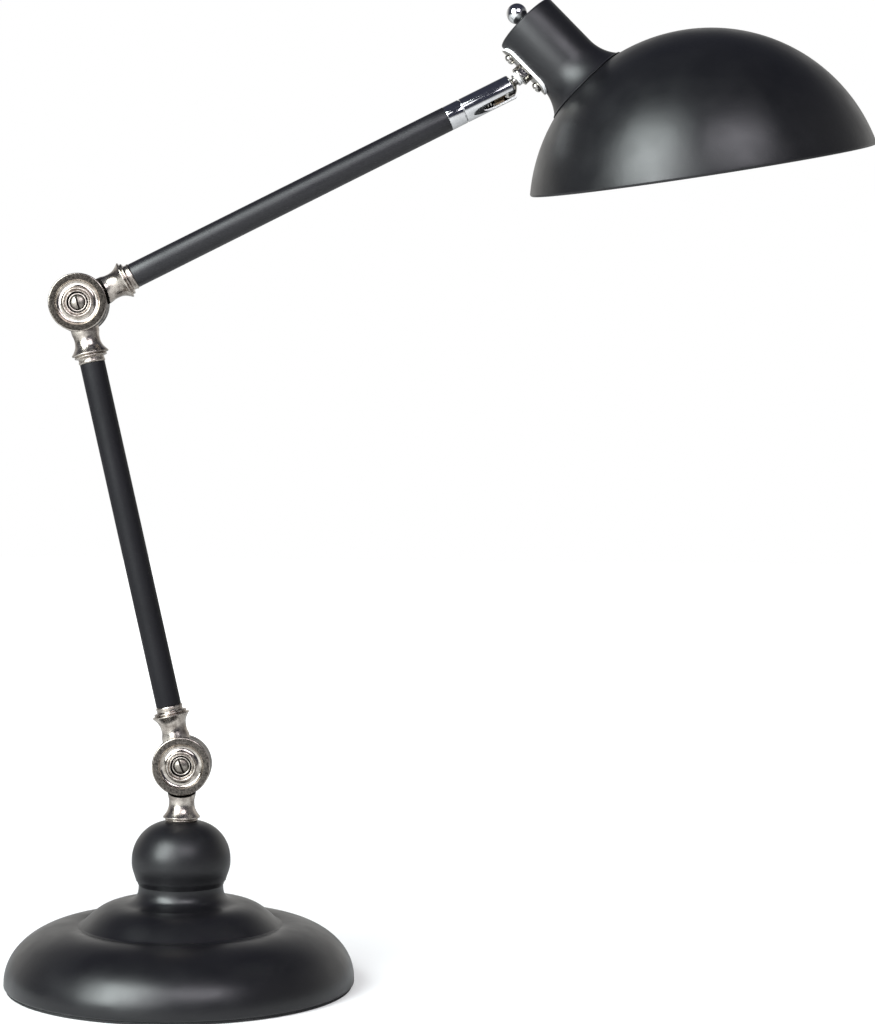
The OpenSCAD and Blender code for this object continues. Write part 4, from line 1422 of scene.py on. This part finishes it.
@dataclass
class Head:
    """Saddle plate, lampholder cup, holder, shade and bulb, all about the cup's axis."""

    offset: float = 31.0
    cup: float = 17.4
    wall: float = 1.2
    back: float = 19.0
    front: float = 12.0
    flare_curve: float = 23.0
    flare_angle: float = 44.6
    lip: float = 0.9
    roll: tuple[Point, ...] = ((0.55, 0.85), (0.25, 0.8), (0.05, 0.6), (0.05, 0.42), (0.3, 0.34),
                               (1.1, 0.34))  # each point's way back from the seam, and its rise
    roll_in: float = 1.3
    plate_len: float = 32.0
    plate_w: float = 13.0
    plate_t: float = 1.6
    pitch: float = 20.2
    knob: float = 5.4
    shade_r: float = 92.2
    shade_wall: float = 1.2
    rim: float = 20.0
    tilt: float = 36.5
    turn: float = 18.0
    skirt: float = 11.9
    thread: Thread = Thread(1.5, 0.35, 0.5, 0.08, 0.7)
    ring_r: float = 16.0
    ring_h: float = 3.6
    ribs: int = 36
    rib_r: float = 0.42
    rib_h: float = 3.0
    contact: float = 2.6
    tip: float = 3.6
    bulb: float = 22.5
    bulb_len: float = 78.0
    cap: float = 6.8
    seam_r: float = field(init=False)
    seam_z: float = field(init=False)
    shade_z: float = field(init=False)

    def __post_init__(self) -> None:
        """Works out where the cup's mouth meets the shade."""
        a = math.radians(self.flare_angle)
        self.seam_r = self.cup + self.flare_curve * (1 - math.cos(a))
        self.seam_z = self.front + self.flare_curve * math.sin(a)
        self.shade_z = self.seam_z + math.sqrt(self.shade_r ** 2 - self.seam_r ** 2)

    def sphere_drop(self, sphere: float, r: float) -> float:
        """Height on the cup's axis at which a sphere about the shade's centre has radius r."""
        return self.shade_z - math.sqrt(sphere ** 2 - r * r)

    def flare(self, out: float, start: float, end: float, steps: int, clear: float) -> Path:
        """Points of the cup's flare that lie outside the shade.

        Args:
            out: how far the points lie inside the flare's surface.
            start, end: the two angles in degrees.
            steps: number of spans.
            clear: the least distance from the shade's surface.
        Returns:
            The points.
        """
        path = arc((self.cup + self.flare_curve, self.front), self.flare_curve + out, start, end,
                   steps)
        return [p for p in path if math.hypot(p[0], p[1] - self.shade_z) > self.shade_r + clear]

    def cup_body(self) -> Piece:
        """The cup, from its closed end to the flare that sits on the shade.

        Returns:
            The cup along Z, with a rolled lip at its mouth.
        """
        c, e, h, low, near = self.cup, 3.0, 1.2, -self.back, 0.02
        edge = 180 - self.flare_angle
        path = [(0, low)] + [(c - e + e * math.sin(math.radians(k)),
                              low + h * (1 - math.cos(math.radians(k)))) for k in range(0, 91, 6)]
        path += self.flare(0, 180, edge, 60, self.lip)
        inner = self.flare(self.wall, edge - 4, 180, 48, near)
        last = self.seam_r - self.roll_in
        for back, rise in (*self.roll, (self.roll_in, near)):
            r = self.seam_r - back
            path.append((r, self.sphere_drop(self.shade_r + rise, r)))
        for k in range(1, 4):
            r = last + (inner[0][0] - last) * k / 4
            path.append((r, self.sphere_drop(self.shade_r + near, r)))
        path += inner + [(c - self.wall, low + h + 0.8), (c - e, low + self.wall),
                         (0, low + self.wall)]
        return Shop.turned("cup_spun", eased(path, 0.1), Finishes.coat, 160)

    def plate(self) -> Piece:
        """The curved saddle plate between the stud and the cup.

        Returns:
            The plate on the cup's X side, cut to the flare.
        """
        r, w, run = self.cup + 0.05, self.plate_w / 2, (self.plate_len - self.plate_w) / 2
        out, tall = r + self.plate_t, 20
        path = [(r, -tall), (out, -tall), (out, tall), (r, tall), (r, -tall)]
        piece = Shop.turned("saddle_plate_formed", path, Finishes.warm_chrome, 256)
        ends = [(y, z + run) for y, z in arc((0, 0), w, 0, 180, 32)]
        ends += [(y, z - run) for y, z in arc((0, 0), w, 180, 360, 32)]
        die = Shop.prism("die", ends, 0, self.cup + 6)
        stand = Matrix(((0, 0, 1, 0), (1, 0, 0, 0), (0, 1, 0, 0), (0, 0, 0, 1)))
        Shop.work(piece, "INTERSECT", Shop.moved(die, stand))
        flare = [(0, self.front)] + arc((self.cup + self.flare_curve, self.front),
                                        self.flare_curve - 0.05, 180, 180 - self.flare_angle, 24)
        Shop.work(piece, "DIFFERENCE", Shop.turned("flare", flare + [(0, self.seam_z)],
                                                   segments=160))
        return Shop.soften(piece, 0.3, 3)

    def screws(self) -> Piece:
        """The plate's two slotted pan screws, made as a row.

        Returns:
            Both screws on the cup's X side.
        """
        out, r, shank, end = self.cup + 0.05 + self.plate_t, 2.8, 1.5, self.cup - self.wall - 2
        path = [(0, end), (shank, end), (shank, out + 0.01), (r, out + 0.01)]
        path += curve((r, out + 0.7), (r, out + 1.5), (1.8, out + 2), (0, out + 2), 10)
        piece = Shop.turned("saddle_screws_slotted", eased(path, 0.12), Finishes.warm_chrome, 56)
        Shop.work(piece, "DIFFERENCE", Shop.saw(0.4, 4, out + 1.1, out + 4))
        Shop.moved(Shop.soften(piece, 0.08), rotated(90, "Y"))
        return Shop.row.run(piece, Count=2, Pitch=self.pitch, Finish=Finishes.warm_chrome)

    def shade(self, at: Places) -> Piece:
        """The spun shade with its rolled rim and the holder's hole, white inside.

        Args:
            at: where the assemblies stand.
        Returns:
            The shade about Z, its sphere's centre at the origin.
        """
        big, small, rim = self.shade_r, self.shade_r - self.shade_wall, self.rim
        a, b = (math.degrees(math.asin((rim + x) / r)) for x, r in ((1.2, big), (1.4, small)))
        edge = big * math.cos(math.radians(a))
        path = arc((0, 0), big, 90, a, 72)
        path[0] = (0, big)
        path += [(edge - 0.2, rim + 0.4), (edge - 0.9, rim), (edge - 2.6, rim),
                 (edge - 3, rim + 0.5), (edge - 2.8, rim + 1.1)]
        path += arc((0, 0), small, b, 90, 60)[:-1] + [(0, small)]
        piece = Shop.turned("shade_spun", eased(path, 0.3), Finishes.shade_coat, 240)
        limit = (small + big) / 2
        Fit.region(piece, Finishes.inside, lambda c: c.length < limit and c.z > rim + 1.6)
        hole = plug(self.skirt + 0.2, self.seam_z - 12, self.seam_z + 12)
        drill = Shop.turned("drill", hole, segments=96)
        return Shop.work(piece, "DIFFERENCE", Shop.moved(drill, at.shade.inverted() @ at.cup))

    def holder(self) -> Piece:
        """The holder's moulded body with a thread on its skirt.

        Returns:
            The body along Z.
        """
        s, floor, body, wide = self.skirt, self.contact, 11.5, self.skirt + 2
        shoulder = self.sphere_drop(self.shade_r, s + 0.2) - 0.05
        end = self.ring_low() + self.ring_h
        mouth, core = s - 1.6, s - self.thread.height
        path = [(0, -3), (body, -3), (body, shoulder - 3), (wide, shoulder - 2.6),
                (wide, shoulder), (core, shoulder), (core, end), (mouth, end),
                (mouth, shoulder - 3), (8.5, shoulder - 5), (8.5, floor), (0, floor)]
        piece = Shop.turned("holder_moulded", eased(path, 0.25), Finishes.white, 112)
        return Shop.joined(piece, self.thread.cut(core, shoulder, end, 72, Finishes.white))

    def ring_low(self) -> float:
        """Height of the clamp ring's face, just clear of the inside of the shade."""
        return self.sphere_drop(self.shade_r - self.shade_wall, self.ring_r) + 0.05

    def ring(self) -> Piece:
        """The ring that clamps the shade, ribbed for the fingers.

        Returns:
            The ring at its height.
        """
        bore, out, tall = self.skirt + 0.05, self.ring_r - 0.4, self.ring_h
        path = [(bore, 0), (out, 0), (out, tall), (bore, tall)]
        piece = Shop.turned("shade_ring_ribbed", eased(path, 0.25, True), Finishes.black, 120)
        ribs = Shop.ribs.run(Shop.blank("ribs", [(0, 0)]), Count=self.ribs,
                             Radius=self.ring_r - 0.45, Rib_Radius=self.rib_r,
                             Height=self.rib_h, Finish=Finishes.black)
        Shop.joined(piece, Shop.moved(ribs, raised(tall / 2)))
        return Shop.moved(piece, raised(self.ring_low()))

    def glass(self) -> Piece:
        """The round opal bulb.

        Returns:
            The bulb's wall along Z, open at the cap.
        """
        tip, r, c, join, thick = self.tip, self.bulb, self.cap + 0.2, 140, 0.8
        mid, cap_end = tip + self.bulb_len - r, tip + 22.5
        sj, cj = r * math.sin(math.radians(join)), r * math.cos(math.radians(join))
        path = curve((c, cap_end), (c, cap_end + 8), (sj - 6.1, mid + cj - 5.1),
                     (sj, mid + cj), 24)
        path += [(r * math.sin(math.radians(a)), mid + r * math.cos(math.radians(a)))
                 for a in range(join - 3, 0, -3)]
        wall = beside(path, -thick)
        path += [(0, mid + r), (0, mid + r - thick)] + wall[::-1]
        return Shop.turned("bulb_glass_blown", path + path[:1], Finishes.opal, 112)

    def knob_ball(self) -> Piece:
        """The switch's ball knob with the stem that it turns.

        Returns:
            The knob along Z, behind the cup.
        """
        r, end, stem = self.knob, -self.back + 7.8, 1.9
        z = -self.back - 0.3 - r
        path = arc((0, z), r, -90, 66, 36)
        path[0] = (0, z - r)
        path += [(stem, z + r - 0.1), (stem, end), (0, end)]
        return Shop.turned("switch_knob_turned", eased(path, 0.15), Finishes.chrome, 96)

    def build(self, at: Places) -> None:
        """Makes, seats and dresses the head.

        Args:
            at: where the assemblies stand.
        """
        Fit.seat(self.plate(), at.cup, "head", "chrome", "saddle_plate")
        Fit.seat(self.screws(), at.cup, "head", "chrome", "saddle_screws")
        Fit.seat(self.cup_body(), at.cup, "head", "satin_black", "lampholder_cup")
        Fit.seat(self.shade(at), at.shade, "head", "shade_black", "shade")
        Fit.seat(self.holder(), at.cup, "head", "holder_white", "holder_body")
        Fit.seat(self.ring(), at.cup, "head", "holder_black", "shade_ring")
        Fit.seat(self.glass(), at.cup, "head", "opal_glass", "bulb_glass")
        Fit.seat(self.knob_ball(), at.cup, "knob", "chrome", "switch_knob")
        Fit.dress(Finishes.black, "switch_body")
        Fit.dress(Finishes.brass, "holder_shell", "holder_contact")
        Fit.dress(Finishes.steel, "bulb_cap")


# ---------------------------------------------------------------- studio


@dataclass
class Camera:
    """The camera at the photograph's viewing angle; lengths in mm, angles in degrees."""

    x: float = 95.1
    height: float = 266.24
    away: float = 1198.28
    pitch: float = 0.887
    roll: float = 0.585
    yaw: float = 1.748
    focal_px: float = 2300.0
    picture_height: int = 1024
    sensor: float = 36.0

    def build(self) -> None:
        """Makes the camera."""
        p, r, y = (math.radians(v) for v in (self.pitch, self.roll, self.yaw))
        ahead = Vector((math.sin(y) * math.cos(p), math.cos(y) * math.cos(p), -math.sin(p)))
        right = Vector((math.cos(y), -math.sin(y), 0))
        up = Vector((math.sin(y) * math.sin(p), math.cos(y) * math.sin(p), math.cos(p)))
        side = right * math.cos(r) + up * math.sin(r)
        top = up * math.cos(r) - right * math.sin(r)
        data = bpy.data.cameras.new("camera")
        data.lens = self.focal_px / self.picture_height * self.sensor
        data.sensor_width, data.sensor_fit = self.sensor, "AUTO"
        data.clip_start, data.clip_end = 0.05, 60.0
        eye, spot = placed("camera", data), Vector((self.x, -self.away, self.height)) / 1000
        turn = Matrix((side, top, -ahead)).transposed().to_4x4()
        eye.matrix_world = Matrix.Translation(spot) @ turn
        bpy.context.scene.camera = eye


@dataclass
class SoftBox:
    """A rectangular lamp that faces the desk lamp; lengths in metres."""

    name: str
    towards: tuple[float, float, float]
    away: float
    wide: float
    tall: float
    watts: float
    tint: Colour
    middle: tuple[float, float, float] = (0.12, 0, 0.25)

    def build(self) -> None:
        """Makes the soft box."""
        data = bpy.data.lights.new(self.name, "AREA")
        data.shape, data.size, data.size_y = "RECTANGLE", self.wide, self.tall
        data.energy, data.color = self.watts, self.tint
        box, way = placed(self.name, data), Vector(self.towards).normalized()
        box.location = Vector(self.middle) + way * self.away
        box.rotation_euler = way.to_track_quat("Z", "Y").to_euler()


@dataclass
class Studio:
    """White floor and surroundings with three soft boxes."""

    floor: float = 6.0
    floor_z: float = -0.0002
    floor_low: Colour = (0.61, 0.61, 0.61)
    floor_high: Colour = (0.63, 0.63, 0.63)
    shadow: Point = (0.3, 1.2)  # kept up to the first distance and gone from the second on
    shadow_level: float = 0.34
    world_level: float = 0.42
    world_tone: Colour = (0.97, 0.985, 1.0)
    front_glow: Colour = (0.046, 0.050, 0.074)
    rear_glow: Colour = (0.85, 0.84, 0.81)
    boxes: tuple[SoftBox, ...] = (
        SoftBox("key", (-0.635, -0.615, 0.455), 2.38, 1.2, 1.95, 89.0, (0.92, 1.0, 0.99)),
        SoftBox("low", (-0.48, -0.88, 0.35), 1.06, 0.6, 0.8, 5.5, (0.95, 0.96, 1.0)),
        SoftBox("front", (0.23, -0.77, 0.57), 2.3, 1.2, 1.0, 22.0, (0.95, 0.93, 1.0)))

    def ground(self) -> None:
        """The pale floor, which stays white to the camera and keeps the lamp's shadow."""
        s = self.floor
        floor = meshed("floor", [(-s, -s, 0), (s, -s, 0), (s, s, 0), (-s, s, 0)], [],
                       [(0, 1, 2, 3)])
        floor.location.z = self.floor_z
        g = Grain("floor", Roughness=0.9, Specular_IOR_Level=0.0,
                  Emission_Color=(1, 1, 1, 1))
        g.put(g.blend(g.spread(g.noise(3, 2), 0, 1), self.floor_low, self.floor_high),
              g.shader["Base Color"])
        path = g.add("LightPath").outputs
        seen = g.sum("MAXIMUM", path["Is Camera Ray"], path["Is Transmission Ray"])
        far = g.add("VectorMath", {0: g.where}, operation="LENGTH").outputs["Value"]
        g.put(g.sum("MULTIPLY", seen, g.ramp(far, *self.shadow, self.shadow_level, 1.0)),
              g.shader["Emission Strength"])
        floor.data.materials.append(g.material)

    def surroundings(self) -> None:
        """The world: white to the camera, and a studio that is pale behind and dim in front."""
        world = bpy.data.worlds.new("studio")
        bpy.context.scene.world = world
        world.use_nodes = True
        w = Nodes(world.node_tree)
        w.tree.nodes.clear()
        way = w.add("SeparateXYZ", {0: w.add("TexCoord").outputs["Generated"]}).outputs

        def fade(axis: int, low: float, high: float, start: float, end: float) -> Socket:
            """A soft step from start to end along one axis of the view."""
            return w.add("MapRange", {0: way[axis], 1: low, 2: high, 3: start, 4: end},
                         interpolation_type="SMOOTHSTEP").outputs[0]

        def light(tone: object, level: float) -> Socket:
            """A plain light of one tone."""
            return w.add("Background", {0: tone, 1: level}).outputs[0]

        back = w.sum("MULTIPLY", fade(1, 0.15, 0.9, 0.0, 1.0), fade(2, 0.25, 0.75, 1.0, 0.0))
        sides = w.sum("ADD", fade(0, -0.6, -0.95, 0.0, 0.05), fade(0, 0.55, 0.95, 0.0, 0.25))
        glow = w.add("Mix", {0: w.sum("ADD", back, sides), 6: (*self.front_glow, 1),
                             7: (*self.rear_glow, 1)}, data_type="RGBA").outputs[2]
        path = w.add("LightPath").outputs
        lit = w.add("MixShader", {0: path["Is Glossy Ray"],
                                  1: light((*self.world_tone, 1), self.world_level),
                                  2: light(glow, 1.0)}).outputs[0]
        seen = w.sum("MAXIMUM", path["Is Camera Ray"], path["Is Transmission Ray"])
        last = w.add("MixShader", {0: seen, 1: lit, 2: light((1, 1, 1, 1), 1.0)})
        w.add("OutputWorld", {0: last.outputs[0]})

    def build(self) -> None:
        """Makes the whole studio."""
        self.ground()
        self.surroundings()
        for box in self.boxes:
            box.build()
        bpy.context.scene.view_settings.view_transform = "Standard"


def main() -> None:
    """Builds the lamp from the table up, then the camera and the studio."""
    logging.basicConfig(level=logging.INFO, format="%(name)s: %(message)s")
    head = Head()
    at = Places(head)
    for assembly in (Base(), Hinge(), Arms(), BallJoint(), head):
        LOG.info("building %s", type(assembly).__name__)
        assembly.build(at)
    Camera().build()
    Studio().build()


if __name__ == "__main__":
    main()
